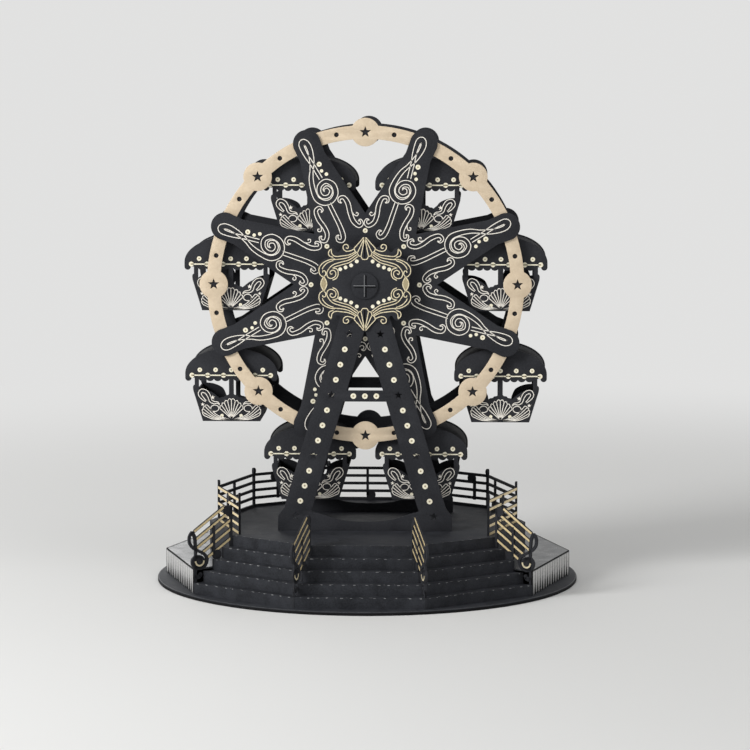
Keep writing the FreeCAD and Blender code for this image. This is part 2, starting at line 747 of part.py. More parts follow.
def axle_cap():
    # a round card with a raised cross of folded tabs
    thick = size("gondola_card")
    front = -axle_front - thick
    disc = prism_bar("cap_disc", "Sizes.cap_radius", "Sizes.gondola_card")
    disc.Placement = along_axle(front, z=hub)
    arm, bar, proud = 0.86 * size("cap_radius"), 0.5, 0.6
    cross = merged([box(-arm, -bar, arm, bar), box(-bar, -arm, bar, arm)])
    tabs = doc.addObject("Part::Extrusion", "cap_cross")
    tabs.Base = drawing("cap_cross_flat", cross)
    tabs.DirMode = "Custom"
    tabs.Dir = Vector(0, 1, 0)
    tabs.Solid = True
    tabs.LengthFwd = proud
    tabs.Placement = wheel_place(front - proud)
    return fuse("axle_cap", [disc, tabs])


keep(axle_cap(), "axle_cap")


def hanger_rod(k):
    x, z = polar(size("pivot_radius"), (k + 0.5) * ARM_STEP)
    return cylinder("rod_%d" % (k + 1), "Sizes.rod_radius", "Sizes.ring_gap", along_axle(-ring_inner, x, hub + z))


keep(group("gondola_rods", [hanger_rod(k) for k in range(ARMS)]), "gondola_rods")


# ---- crank ----

def crank_card():
    half = size("crank_half")
    throw = size("crank_throw")
    shape = Outline(half, 0).line(half, -throw).arc((0, -throw - half), (-half, -throw))
    shape.line(-half, 0).arc((0, half), (half, 0))
    return face(shape.wire(), [circle(0, 0, size("axle_radius") + size("running"), bore=True)])


pin_length = size("knob_length") + 2 * size("play")
arm_plate = cut_card("crank_plate", drawing("crank_card", crank_card()), "Sizes.crank_card",
                     wheel_place(crank_front))
pin_z = hub - size("crank_throw")
pin = cylinder("crank_pin", "Sizes.pin_radius", "Sizes.crank_card / 2 + Sizes.knob_length + 2 * Sizes.play",
               along_axle(crank_back - size("crank_card") / 2, z=pin_z))
pin_head = cylinder("pin_head", "Sizes.pin_radius + 1", "Sizes.gondola_card",
                    along_axle(crank_back + pin_length, z=pin_z))
keep(fuse("crank_arm", [arm_plate, pin, pin_head]), "crank_arm")
knob = tube("crank_knob", "Sizes.knob_radius", "Sizes.pin_radius + Sizes.running", "Sizes.knob_length",
            along_axle(crank_back + size("play"), z=pin_z))
keep(knob, "crank_knob")


# ---- gondolas, drawn about their pivot ----

def canopy(inset=0.0):
    # the canopy's half ellipse, or one that lies inside it
    middle = point(0, -size("canopy_drop"))
    wide = size("canopy_half") - inset
    tall = size("canopy_rise") - inset
    return Part.Ellipse(middle + Vector(wide, 0, 0), middle + Vector(0, 0, tall), middle)


def canopy_chords(share):
    return math.ceil(share * chord_count(size("canopy_half"), math.pi) * 1.1)


def panel_side(shape, mirror):
    # from the eave round the lobe, post and tub down to the bottom
    eave = -size("eave_drop")
    out, post = size("canopy_half"), size("side_post_out")
    lobe = (out - post) / 2 - 0.9
    hump = eave - 4.0
    shape.line(mirror * out, eave)
    shape.arc((mirror * (out - lobe), eave - lobe), (mirror * (out - 2 * lobe), eave))
    shape.line(mirror * post, eave).line(mirror * post, hump)
    shape.line(mirror * (post + 0.9), hump - 0.9).line(mirror * size("tub_half"), -size("sill_drop"))
    return shape.line(mirror * size("tub_foot"), -size("tub_drop"))


def window(mirror, sunk):
    # the opening between the middle post and a side post, under the scallops; sunk lowers its lower edge
    eave = -size("eave_drop")
    low, high = size("post_half"), size("side_post_in")
    step = (high - low) / 4
    drop = size("scallop_drop")
    shape = Outline(mirror * high, eave)
    for k in range(4):
        right = high - k * step
        shape.arc((mirror * (right - step / 2), eave - drop), (mirror * (right - step), eave))
    valley_x, valley_z = low + 5.5, eave - 12.2 - sunk
    shape.line(mirror * low, eave - 9.4 - sunk)
    shape.line(mirror * (low + 1.3), eave - 10.5 - sunk).line(mirror * (low + 3.6), eave - 11.5 - sunk)
    shape.line(mirror * valley_x, valley_z)
    if sunk:
        shape.line(mirror * (valley_x + 0.4), valley_z + 0.4 * sunk)
    lift = eave - sunk / 4
    shape.arc((mirror * (low + 10.4), lift - 8.5), (mirror * high, lift - 6.8))
    return shape.wire()


def mirrored(shape, places):
    for place in places:
        shape.line(-place.x, place.z)
    return shape


def gondola_panel(sunk):
    lug = size("lug_radius")
    foot = math.acos(lug / size("canopy_half"))
    side = Outline(lug, 0)
    side.along(Part.ArcOfEllipse(canopy(), 0.0, foot), canopy_chords(0.5))
    corners = [edge.Vertexes[0].Point for edge in side.edges[1:]][::-1]
    right = Outline(lug, 0)
    for corner in [side.pen] + corners:
        right.line(corner.x, corner.z)
    right.line(size("canopy_half"), -size("canopy_drop"))
    panel_side(right, 1)
    places = [edge.Vertexes[0].Point for edge in right.edges]
    mirrored(right, [right.pen] + places[::-1])
    right.arc((0, lug), (lug, 0))
    pivot = circle(0, 0, size("rod_radius") + size("running"), bore=True)
    return face(right.wire(), [window(1, sunk), window(-1, sunk), pivot])


def roof_strip():
    # a card bent along the canopy, just inside the panels' edge
    card = size("gondola_card")
    level = -size("canopy_drop")
    wide = size("canopy_half") - card
    chords = canopy_chords(1.0)
    shape = Outline(wide, level).along(Part.ArcOfEllipse(canopy(card), 0.0, math.pi), chords)
    shape.line(card - wide, level)
    under = Part.ArcOfEllipse(canopy(2 * card), 0.0, math.pi)
    for k in range(chords - 1, -1, -1):
        place = under.value(math.pi * k / chords)
        shape.line(place.x, place.z)
    return face(shape.wire())


def tub_strip():
    # one card folded into the floor and the two side walls
    card = size("gondola_card")
    top = -size("sill_drop") - 1.2
    bottom = -size("tub_drop")
    slope = (size("tub_half") - size("tub_foot")) / (size("tub_drop") - size("sill_drop"))
    inset = card * math.hypot(1.0, slope)

    def side(z):
        return size("tub_foot") + (z - bottom) * slope

    shape = Outline(side(top), top).line(side(bottom), bottom).line(-side(bottom), bottom)
    shape.line(-side(top), top).line(-side(top) + inset, top)
    shape.line(-side(bottom + card) + inset, bottom + card).line(side(bottom + card) - inset, bottom + card)
    shape.line(side(top) - inset, top)
    return face(shape.wire())


front_flat = drawing("gondola_front", gondola_panel(0.0))
rear_flat = drawing("gondola_rear", gondola_panel(size("back_sunk")))
roof_flat = drawing("roof_strip", roof_strip())
tub_flat = drawing("tub_strip", tub_strip())
INSIDE = "Sizes.gondola_depth - 2 * Sizes.gondola_card"
half_depth = size("gondola_depth") / 2
for number in range(1, ARMS + 1):
    x, z = polar(size("pivot_radius"), (number - 0.5) * ARM_STEP)
    name = "gondola_%d" % number
    gondola_parts = (("front", front_flat, "Sizes.gondola_card", -half_depth),
                     ("rear", rear_flat, "Sizes.gondola_card", half_depth - size("gondola_card")),
                     ("roof", roof_flat, INSIDE, -half_depth + size("gondola_card")),
                     ("tub", tub_flat, INSIDE, -half_depth + size("gondola_card")))
    for part_name, flat, depth, y in gondola_parts:
        label = name + "_" + part_name
        place = Placement(Vector(x, y, hub + z), Rotation())
        keep(cut_card(label, flat, depth, place), label)


# ---- check and export ----

doc.recompute()
os.makedirs("parts", exist_ok=True)
for item in doc.Objects:
    if "Invalid" in item.State or "Error" in item.State:
        raise ValueError("%s: %s" % (item.Label, item.State))
facets = 0
for piece in pieces:
    if piece.Shape.isNull() or not piece.Shape.isValid() or not piece.Shape.Solids:
        raise ValueError(piece.Label + " has no valid shape")
    piece.Shape.exportStep("parts/" + piece.Label + ".step")
    facets += len(piece.Shape.tessellate(0.1)[1])
print(len(pieces), "pieces,", facets, "facets")
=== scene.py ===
import random
from math import acos, atan, atan2, cos, degrees, hypot, pi, radians, sin, sqrt, tan

import bmesh
import bpy
from mathutils import Matrix, Vector


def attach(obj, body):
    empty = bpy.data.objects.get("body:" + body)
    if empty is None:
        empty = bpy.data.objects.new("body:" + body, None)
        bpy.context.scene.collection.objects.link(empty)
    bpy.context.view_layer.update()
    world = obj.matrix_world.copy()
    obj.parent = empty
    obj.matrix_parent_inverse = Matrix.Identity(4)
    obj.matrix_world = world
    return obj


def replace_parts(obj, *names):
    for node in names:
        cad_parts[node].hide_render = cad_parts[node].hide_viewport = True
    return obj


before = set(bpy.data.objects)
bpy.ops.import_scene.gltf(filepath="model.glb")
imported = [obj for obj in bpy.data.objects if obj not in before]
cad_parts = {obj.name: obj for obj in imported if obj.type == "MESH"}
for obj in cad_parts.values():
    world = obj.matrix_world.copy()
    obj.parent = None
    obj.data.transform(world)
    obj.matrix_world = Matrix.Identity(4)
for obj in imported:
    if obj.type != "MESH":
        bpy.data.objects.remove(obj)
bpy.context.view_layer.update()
mm = 0.001
print("packed model loaded")

# sizes that several pieces share, in mm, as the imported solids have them
wheel = {
    "hubHeight": 177.4, "ringRadius": 88.6, "pivotRadius": 85.4, "band": 7.9, "starDisc": 8.3,
    "starCut": 3.45, "holeRadius": 1.4, "holeAngle": 10.9, "arms": 8,
}
platform = {
    "facet": 36.0, "deckRadius": 94.3, "deckLevel": 33.6, "terraceRadius": 120.5,
    "terraceLevel": 16.6, "floorLevel": 2.0, "risers": 5, "front": -90.0,
}
armStep = 360.0 / wheel["arms"]


def polar(radius, angle):
    return radius * cos(radians(angle)), radius * sin(radians(angle))


def turned(place, angle):
    x, z = place
    cosine, sine = polar(1.0, angle)
    return x * cosine - z * sine, x * sine + z * cosine


def linked(name, data):
    made = bpy.data.objects.new(name, data)
    bpy.context.scene.collection.objects.link(made)
    return made


# materials: two tones, roughness and a fine relief, all from one group each for card and for foil


def newGroup(name, inputs, outputs):
    group = bpy.data.node_groups.new(name, "ShaderNodeTree")
    for title, value in inputs.items():
        socket = group.interface.new_socket(title, in_out="INPUT", socket_type="NodeSocketFloat")
        socket.default_value = value
    for title in outputs:
        group.interface.new_socket(title, in_out="OUTPUT", socket_type="NodeSocketFloat")
    given = group.nodes.new("NodeGroupInput").outputs
    return group, given, group.nodes.new("NodeGroupOutput").inputs


def addNode(tree, kind, inputs=(), **settings):
    node = tree.nodes.new(kind)
    for name, value in settings.items():
        setattr(node, name, value)
    for name, value in dict(inputs).items():
        if isinstance(value, bpy.types.NodeSocket):
            tree.links.new(value, node.inputs[name])
        else:
            node.inputs[name].default_value = value
    return node


def maths(tree, operation, *values):
    return addNode(tree, "ShaderNodeMath", dict(enumerate(values)), operation=operation).outputs[0]


def spreadOut(tree, value, low, high, first=0.0, last=1.0):
    inputs = {"Value": value, "From Min": low, "From Max": high, "To Min": first, "To Max": last}
    return addNode(tree, "ShaderNodeMapRange", inputs).outputs[0]


def noiseOf(tree, size, **shape):
    # noise with features about as large as the size, in metres
    place = addNode(tree, "ShaderNodeTexCoord").outputs["Object"]
    inputs = {"Vector": place, "Scale": maths(tree, "DIVIDE", 1.0, size), **shape}
    return addNode(tree, "ShaderNodeTexNoise", inputs).outputs["Fac"]


paper = {"Fibre Size": 0.0008, "Cloud Size": 0.02}
paperMix = {"fibre": 0.45, "cloud": 0.55, "dark": 0.36, "light": 0.64}
foilWorn = {"Fleck Size": 0.0006, "Amount": 0.5}
foilMask = {"edge": 0.75, "full": 0.72}


def paperFibreGroup():
    # felted fibres and a broad cloudiness, as pressed card has
    group, given, result = newGroup("paperFibre", paper, ["Tone", "Height"])
    fibre = noiseOf(group, given["Fibre Size"], Detail=3.0)
    cloud = noiseOf(group, given["Cloud Size"], Detail=4.0, Distortion=0.6)
    share = maths(group, "MULTIPLY", fibre, paperMix["fibre"])
    both = maths(group, "MULTIPLY_ADD", cloud, paperMix["cloud"], share)
    group.links.new(spreadOut(group, both, paperMix["dark"], paperMix["light"]), result["Tone"])
    group.links.new(fibre, result["Height"])
    return group


def foilWearGroup():
    # hot foil that has taken unevenly: pale and dark flecks, and a fine crinkle
    group, given, result = newGroup("foilWear", foilWorn, ["Fleck", "Height"])
    noise = noiseOf(group, given["Fleck Size"], Detail=2.0, Roughness=0.6)
    edge = maths(group, "SUBTRACT", foilMask["edge"], given["Amount"])
    group.links.new(spreadOut(group, noise, edge, foilMask["full"]), result["Fleck"])
    group.links.new(noise, result["Height"])
    return group


paperFibre = paperFibreGroup()
foilWear = foilWearGroup()
surface = {"roughSpread": 0.1, "reliefStrength": 0.6}


def finish(name, dark, light, rough, values=(), metal=0.0, group=paperFibre, relief=0.00002, specular=0.5):
    # one card or foil: two tones mixed by the group's mask, with its height as fine relief
    material = bpy.data.materials.new(name)
    material.use_nodes = True
    tree = material.node_tree
    shader = tree.nodes["Principled BSDF"]
    texture = addNode(tree, "ShaderNodeGroup", node_tree=group)
    for title, value in dict(values).items():
        texture.inputs[title].default_value = value
    mask = texture.outputs[0]
    tone = addNode(tree, "ShaderNodeMix", data_type="RGBA")
    tree.links.new(mask, tone.inputs["Factor"])
    tone.inputs[6].default_value = (*dark, 1.0)
    tone.inputs[7].default_value = (*light, 1.0)
    tree.links.new(tone.outputs[2], shader.inputs["Base Color"])
    spread = surface["roughSpread"]
    roughness = spreadOut(tree, mask, 0.0, 1.0, rough - spread, rough + spread)
    tree.links.new(roughness, shader.inputs["Roughness"])
    shader.inputs["Metallic"].default_value = metal
    shader.inputs["Specular IOR Level"].default_value = specular
    bump = addNode(tree, "ShaderNodeBump", {"Height": texture.outputs["Height"], "Distance": relief})
    bump.inputs["Strength"].default_value = surface["reliefStrength"]
    tree.links.new(bump.outputs["Normal"], shader.inputs["Normal"])
    return material


def foilFinish(name, pale, fleck, rough, metal):
    return finish(name, pale, fleck, rough, {"Fleck Size": 0.0011, "Amount": 0.26}, metal, foilWear, 0.00001)


dappled = {"Cloud Size": 0.009}
glossy = {"Fibre Size": 0.0012, "Cloud Size": 0.006}
blackCard = finish("blackCard", (0.0198, 0.0205, 0.024), (0.034, 0.0352, 0.04), 0.75, relief=0.00004,
                   specular=0.12)
stairCard = finish("stairCard", (0.013, 0.014, 0.0172), (0.034, 0.0363, 0.043), 0.66, dappled,
                   relief=0.00005, specular=0.18)
terraceCard = finish("terraceCard", (0.04, 0.042, 0.046), (0.075, 0.078, 0.083), 0.36, dappled,
                     relief=0.00003)
roofCard = finish("roofCard", (0.006, 0.0064, 0.008), (0.013, 0.0135, 0.016), 0.85, specular=0.15)
champagneCard = finish("champagneCard", (0.61, 0.49, 0.345), (0.68, 0.56, 0.41), 0.5, glossy, 0.1)
# lighter card for worn, perforated folds, also used for painted highlights
foldWearAndHighlight = finish("foldWearAndHighlight", (0.12, 0.123, 0.13), (0.27, 0.275, 0.28), 0.7, {"Fibre Size": 0.0006})
stripWear = finish("stripWear", (0.035, 0.036, 0.038), (0.13, 0.135, 0.14), 0.6, {"Cloud Size": 0.006})
# near black for dark gaps and bare edges, also used for painted shade and painted shadow
gapAndShadeBlack = finish("gapAndShadeBlack", (0.003, 0.003, 0.0035), (0.007, 0.007, 0.008), 0.8, specular=0.15)
stainedWood = finish("stainedWood", (0.022, 0.018, 0.015), (0.045, 0.037, 0.03), 0.5, {"Cloud Size": 0.004})
creamFoil = foilFinish("creamFoil", (0.93, 0.89, 0.81), (0.78, 0.72, 0.62), 0.42, 0.1)
goldFoil = foilFinish("goldFoil", (0.88, 0.78, 0.54), (0.58, 0.47, 0.27), 0.38, 0.25)
railFoil = foilFinish("railFoil", (0.88, 0.72, 0.42), (0.60, 0.45, 0.22), 0.4, 0.3)
dotFoil = foilFinish("dotFoil", (0.93, 0.88, 0.70), (0.76, 0.69, 0.50), 0.42, 0.1)
eyeFoil = foilFinish("eyeFoil", (0.42, 0.35, 0.21), (0.28, 0.22, 0.13), 0.45, 0.15)
silverFoil = foilFinish("silverFoil", (0.55, 0.545, 0.54), (0.38, 0.375, 0.37), 0.38, 0.3)
print("materials made")


# helpers that turn outlines into cut card and foil; places are (x, z) in mm


def at(x, z):
    return Matrix.Translation((x * mm, 0.0, z * mm))


hubPlace = at(0.0, wheel["hubHeight"])
quarterTurn = Matrix.Rotation(pi / 2, 4, "X")


def solidMesh(name, work, place=None):
    bmesh.ops.recalc_face_normals(work, faces=work.faces)
    mesh = bpy.data.meshes.new(name)
    work.to_mesh(mesh)
    work.free()
    if place:
        mesh.transform(place)
    return mesh


def showObject(name, mesh, material, body, smooth=True, angle=32.0):
    if smooth:
        mesh.polygons.foreach_set("use_smooth", [True] * len(mesh.polygons))
        mesh.set_sharp_from_angle(angle=radians(angle))
    piece = linked(name, mesh)
    mesh.materials.append(material)
    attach(piece, body)
    return piece


def cutCard(name, loops, faces, bevel=0.1, place=Matrix.Identity(4)):
    # card with smooth edges from an outline and its holes; faces are where its two faces lie along Y
    near, far = faces
    curve = bpy.data.curves.new(name, "CURVE")
    curve.dimensions = "2D"
    curve.fill_mode = "BOTH"
    curve.extrude = ((far - near) / 2 - bevel) * mm
    curve.bevel_depth = bevel * mm
    curve.bevel_resolution = 1
    curve.offset = -bevel * mm
    for loop in loops:
        outline = curve.splines.new("POLY")
        outline.points.add(len(loop) - 1)
        for point, (x, z) in zip(outline.points, loop):
            point.co = (x * mm, z * mm, 0.0, 1.0)
        outline.use_cyclic_u = True
    holder = linked(name + "_curve", curve)
    ready = holder.evaluated_get(bpy.context.evaluated_depsgraph_get())
    filled = bpy.data.meshes.new_from_object(ready)
    bpy.data.objects.remove(holder)
    bpy.data.curves.remove(curve)
    filled.transform(place @ Matrix.Translation((0.0, (near + far) / 2 * mm, 0.0)) @ quarterTurn)
    work = bmesh.new()
    work.from_mesh(filled)
    bpy.data.meshes.remove(filled)
    bmesh.ops.remove_doubles(work, verts=work.verts, dist=0.000002)
    return solidMesh(name, work)


def cardPiece(name, loops, faces, body, node=None, look=blackCard, bevel=0.1,
              place=hubPlace):
    piece = showObject(name, cutCard(name, loops, faces, bevel, place), look, body)
    if node:
        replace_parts(piece, node)


def spline(places, steps=6, closed=False):
    # a smooth line through the places
    count = len(places)
    spans = count if closed else count - 1
    line = []
    for k in range(spans):
        near = [j % count if closed else min(max(j, 0), count - 1) for j in range(k - 1, k + 3)]
        a, b, c, d = (places[j] for j in near)
        for step in range(steps):
            t = step / steps
            line.append(tuple(
                0.5 * (2 * b[i] + (c[i] - a[i]) * t + (2 * a[i] - 5 * b[i] + 4 * c[i] - d[i]) * t * t
                       + (3 * b[i] - a[i] - 3 * c[i] + d[i]) * t ** 3)
                for i in range(len(b))
            ))
    return line if closed else line + [tuple(places[-1])]


def sides(line, closed=False):
    # unit vectors to the left of a line, place by place
    count = len(line)
    result = []
    for k in range(count):
        before = line[k - 1] if closed or k else line[k]
        after = line[(k + 1) % count] if closed or k < count - 1 else line[k]
        dx, dz = after[0] - before[0], after[1] - before[1]
        length = hypot(dx, dz) or 1.0
        result.append((-dz / length, dx / length))
    return result


def hollow(places, steps=6):
    # both edges of a swelling pen stroke; each place is (x, z, half width)
    line = spline(places, steps)
    pairs = list(zip(line, sides(line)))
    return [[(x + way * nx * half, z + way * nz * half) for (x, z, half), (nx, nz) in pairs]
            for way in (1, -1)]


def arcLoop(centre, radius, first, last, steps):
    spots = [polar(radius, first + (last - first) * k / steps) for k in range(steps + 1)]
    return [(centre[0] + x, centre[1] + z) for x, z in spots]


def roundLoop(x, z, radius, corners=20):
    spots = [polar(radius, 360.0 * k / corners) for k in range(corners)]
    return [(x + across, z + up) for across, up in spots]


def starLoop(x, z, radius, waist=0.42):
    loop = []
    for k in range(5):
        for reach, angle in ((radius, 90.0 + 72 * k), (waist * radius, 126.0 + 72 * k)):
            across, up = polar(reach, angle)
            loop.append((x + across, z + up))
    return loop


def mirrored(line, flipX=True, flipZ=False):
    return [(-x if flipX else x, -z if flipZ else z, *rest) for x, z, *rest in line]


def addSkin(work, rows, closed=False, ends=True):
    # faces between each ring of corners and the next one; the last ring joins the first if it is closed
    rings = [[work.verts.new((x * mm, y * mm, z * mm)) for x, y, z in row] for row in rows]
    for k in range(len(rings) if closed else len(rings) - 1):
        a, b = rings[k], rings[(k + 1) % len(rings)]
        for j in range(len(a)):
            i = (j + 1) % len(a)
            work.faces.new((a[j], b[j], b[i], a[i]))
    if ends and not closed:
        work.faces.new(rings[0])
        work.faces.new(rings[-1][::-1])


def addStrip(work, line, width, front, back, closed=False):
    # one flat bar that follows the line
    half = width / 2
    rows = []
    for (x, z), (nx, nz) in zip(line, sides(line, closed)):
        left, right = (x + nx * half, z + nz * half), (x - nx * half, z - nz * half)
        corners = [(left, front), (right, front), (right, back), (left, back)]
        rows.append([(p[0], y, p[1]) for p, y in corners])
    addSkin(work, rows, closed)


def addPlate(work, loop, front, back):
    # a solid plate from one outline that has no holes
    addSkin(work, [[(x, y, z) for x, z in loop] for y in (front, back)])


foil = {"proud": 0.07, "sunk": 0.03, "eyeShare": 0.34, "eyeLift": 0.03, "eyeFrom": 1.3}


def foilPiece(name, look, body, face, strips=(), rims=(), plates=(), width=0.0, facing=-1, place=None,
              lift=0.0):
    # strips are open lines and rims closed ones; face is where the card's face lies along Y
    work = bmesh.new()
    front = face + facing * (foil["proud"] + lift)
    back = face - facing * foil["sunk"]
    for line in strips:
        addStrip(work, line, width, front, back)
    for line in rims:
        addStrip(work, line, width, front, back, True)
    for loop in plates:
        addPlate(work, loop, front, back)
    showObject(name, solidMesh(name, work, place), look, body)


def dots(name, places, body, face, place=None):
    # cream foil dots, the larger ones with a darker eye
    plates = [roundLoop(x, z, r) for x, z, r in places]
    foilPiece(name, dotFoil, body, face, plates=plates, place=place)
    eyes = [roundLoop(x, z, r * foil["eyeShare"], 12) for x, z, r in places if r > foil["eyeFrom"]]
    if eyes:
        foilPiece(name + "_eyes", eyeFoil, body, face, plates=eyes, place=place, lift=foil["eyeLift"])


# wheel cards, each with where its two faces lie along the axle
wheelCard = {
    "tipRadius": 8.05, "tipSweep": 100.0, "neckHalf": 7.64, "neckDrop": 0.5, "notch": 41.8,
    "sleeve": 8.1, "goldRing": (-28.6, -27.6), "blackRing": (-27.6, -26.6),
    "rearRing": (26.6, 28.6), "frontArms": (-29.8, -28.6), "rearArms": (28.6, 29.8),
}


def spokeLoop():
    tip, radius, neck = wheel["ringRadius"], wheelCard["tipRadius"], wheelCard["neckHalf"]
    foot, sweep = tip - radius - wheelCard["neckDrop"], wheelCard["tipSweep"]
    loop = []
    for k in range(wheel["arms"]):
        arm = [(foot, -neck)] + arcLoop((tip, 0.0), radius, -sweep, sweep, 24) + [(foot, neck)]
        loop += [polar(wheelCard["notch"], k * armStep)] + [turned(p, (k + 0.5) * armStep) for p in arm]
    return loop


def ringLoop(edge, side):
    # a circle that swells round each star disc, outwards for side 1 and inwards for side -1
    middle, disc = wheel["ringRadius"], wheel["starDisc"]
    start = acos((edge ** 2 + middle ** 2 - disc ** 2) / (2 * edge * middle))
    rise = degrees(atan2(edge * sin(start), edge * cos(start) - middle))
    swell = degrees(start)
    last = rise if side > 0 else rise - 360.0
    loop = []
    for k in range(wheel["arms"]):
        loop += [turned(p, k * armStep) for p in arcLoop((middle, 0.0), disc, -rise, last, 16)]
        loop += arcLoop((0.0, 0.0), edge, k * armStep + swell, (k + 1) * armStep - swell, 14)[1:-1]
    return loop


def ringHoles():
    middle, spread = wheel["ringRadius"], wheel["holeAngle"]
    holes = []
    for k in range(wheel["arms"]):
        holes.append(starLoop(*polar(middle, k * armStep), wheel["starCut"]))
        for angle in (k * armStep - spread, k * armStep + spread):
            holes.append(roundLoop(*polar(middle, angle), wheel["holeRadius"]))
    return holes


ringEdges = (wheel["ringRadius"] + wheel["band"] / 2, wheel["ringRadius"] - wheel["band"] / 2)
swollen = [ringLoop(ringEdges[0], 1), ringLoop(ringEdges[1], -1)]
plain = [roundLoop(0, 0, edge, 160) for edge in ringEdges]
spokes = [spokeLoop(), roundLoop(0, 0, wheelCard["sleeve"], 40)]
cardPiece("champagne_ring", swollen + ringHoles(), wheelCard["goldRing"], "wheel", "rim_face", champagneCard)
cardPiece("black_ring_front", plain, wheelCard["blackRing"], "wheel", "rim_back")
cardPiece("black_ring_rear", swollen, wheelCard["rearRing"], "wheel", "rim_rear")
cardPiece("arms_front", spokes, wheelCard["frontArms"], "wheel", "wheel_front")
cardPiece("arms_rear", spokes, wheelCard["rearArms"], "wheel", "wheel_rear")
print("wheel cards cut")

# foil on the arms, drawn about one arm's axis: a clef in three strokes, two scrolls with a curl, dots
armPrint = {
    "line": 0.47,
    "strokes": [
        [(72.9, 3.5, 0.9), (78.0, 1.2, 1.25), (84.0, -0.2, 1.4), (88.2, -0.1, 1.5), (90.3, 1.6, 1.6),
         (88.6, 3.2, 1.5), (82.3, 2.9, 1.2), (76.0, 1.6, 1.0), (70.6, 0.8, 1.0), (66.8, 0.2, 1.0)],
        [(72.9, 3.5, 0.9), (68.4, 5.6, 1.2), (62.4, 6.9, 1.35), (56.8, 6.8, 1.5), (53.2, 3.8, 1.5),
         (52.6, -0.6, 1.3), (55.6, -4.4, 1.4), (60.8, -5.0, 1.4), (64.3, -1.9, 1.2), (63.4, 2.2, 1.15),
         (60.0, 4.2, 1.1), (56.6, 3.2, 1.0), (55.8, -0.2, 0.9), (58.2, -2.6, 0.8), (61.0, -1.4, 0.7),
         (60.7, 0.9, 0.4), (59.0, 1.2, 0.05)],
        [(51.7, 1.4, 1.05), (44.0, 0.9, 1.1), (37.0, 0.5, 1.15), (31.2, 0.9, 1.25), (28.9, 2.6, 1.1),
         (30.0, 4.7, 0.8), (32.2, 4.4, 0.5), (32.6, 3.0, 0.1)],
        [(49.2, -5.6, 0.1), (50.6, -4.6, 0.5), (52.2, -5.6, 0.8), (51.6, -8.0, 1.0), (47.6, -8.8, 1.25),
         (42.0, -7.9, 1.2), (37.0, -7.8, 1.2), (33.2, -9.6, 1.0), (33.6, -11.9, 0.75), (35.9, -11.9, 0.5),
         (35.9, -10.5, 0.1)],
        [(48.5, 7.6, 0.1), (49.8, 6.4, 0.5), (51.7, 7.6, 0.8), (50.4, 10.2, 1.0), (45.4, 10.5, 1.2),
         (40.0, 9.2, 1.15), (35.6, 9.2, 1.1), (32.6, 11.4, 1.0), (33.2, 13.6, 0.75), (35.4, 13.8, 0.5),
         (35.8, 12.3, 0.1)],
    ],
    "curls": [
        [(41.8, -9.3), (40.3, -9.6), (39.0, -10.8), (39.6, -12.1), (40.8, -11.7), (40.4, -10.9)],
        [(41.2, 10.9), (39.9, 11.0), (38.6, 12.0), (39.1, 13.4), (40.4, 13.1), (40.1, 12.2)],
    ],
    "dots": [(74.9, -2.1, 1.45), (70.8, -1.9, 1.0), (68.0, -3.8, 1.05)],
    "notchDot": (31.6, 1.4),  # how far from the hub, and its radius
}
armStrips = [edge for places in armPrint["strokes"] for edge in hollow(places)]
armStrips += [spline(places) for places in armPrint["curls"]]
armLines, armDots = [], []
notchReach, notchRadius = armPrint["notchDot"]
for k in range(wheel["arms"]):
    axis = (k + 0.5) * armStep
    armLines += [[turned(p, axis) for p in line] for line in armStrips]
    armDots += [(*turned((x, z), axis), r) for x, z, r in armPrint["dots"]]
    armDots.append((*polar(notchReach, k * armStep), notchRadius))
armFace = wheelCard["frontArms"][0]
foilPiece("arm_scrolls", creamFoil, "wheel", armFace, armLines, width=armPrint["line"], place=hubPlace)
dots("arm_dots", armDots, "wheel", armFace, place=hubPlace)
print("arms printed")

# A-frames
aFrame = {
    "lean": 16.35, "legWidth": 15.8,
    "reach": 38.1,  # from the middle to a leg's middle line, at the height of the gauge
    "gauge": 50.2, "head": 16.0, "brace": (109.7, 116.2), "markDrop": 28.2, "markPitch": 9.29,
    "marks": 12, "starEvery": 4, "star": 2.5, "dot": 1.64, "braceDots": (-6.7, 0.0, 6.7),
    "footRise": 13.4, "footOut": 3.6, "kinkDrop": 4.7, "apexDrop": 1.5, "archRise": 11.9,
    "archCorner": 2.0, "archMiddle": 5.4, "archShoulder": (14.0, 0.9), "axleHole": 3.3,
    "frontFaces": (-36.6, -35.1), "rearFaces": (35.1, 36.6),
}
legSlope = tan(radians(aFrame["lean"]))
legHalf = aFrame["legWidth"] / 2 / cos(radians(aFrame["lean"]))


def legMiddle(z):
    return aFrame["reach"] - (z - aFrame["gauge"]) * legSlope


def legMark(k):
    height = wheel["hubHeight"] - aFrame["markDrop"]
    across, down = polar(k * aFrame["markPitch"], 90.0 - aFrame["lean"])
    return legMiddle(height) + across, height - down


def frameOutline():
    hub, deck = wheel["hubHeight"], platform["deckLevel"]
    reach, radius = legMiddle(hub) + legHalf, aFrame["head"]
    a = 1 + legSlope ** 2  # where the leg's outer edge meets the round head
    halfB = reach * legSlope
    drop = (sqrt(halfB ** 2 - a * (reach ** 2 - radius ** 2)) - halfB) / a
    headAngle = degrees(atan2(-drop, reach + drop * legSlope))
    kink = deck + aFrame["footRise"]
    outer = legMiddle(kink) + legHalf
    footOut = outer + aFrame["footOut"]
    right = [(footOut, deck), (footOut, kink - aFrame["kinkDrop"]), (outer, kink)]
    return right + arcLoop((0.0, hub), radius, headAngle, 180.0 - headAngle, 30) + mirrored(right)[::-1]


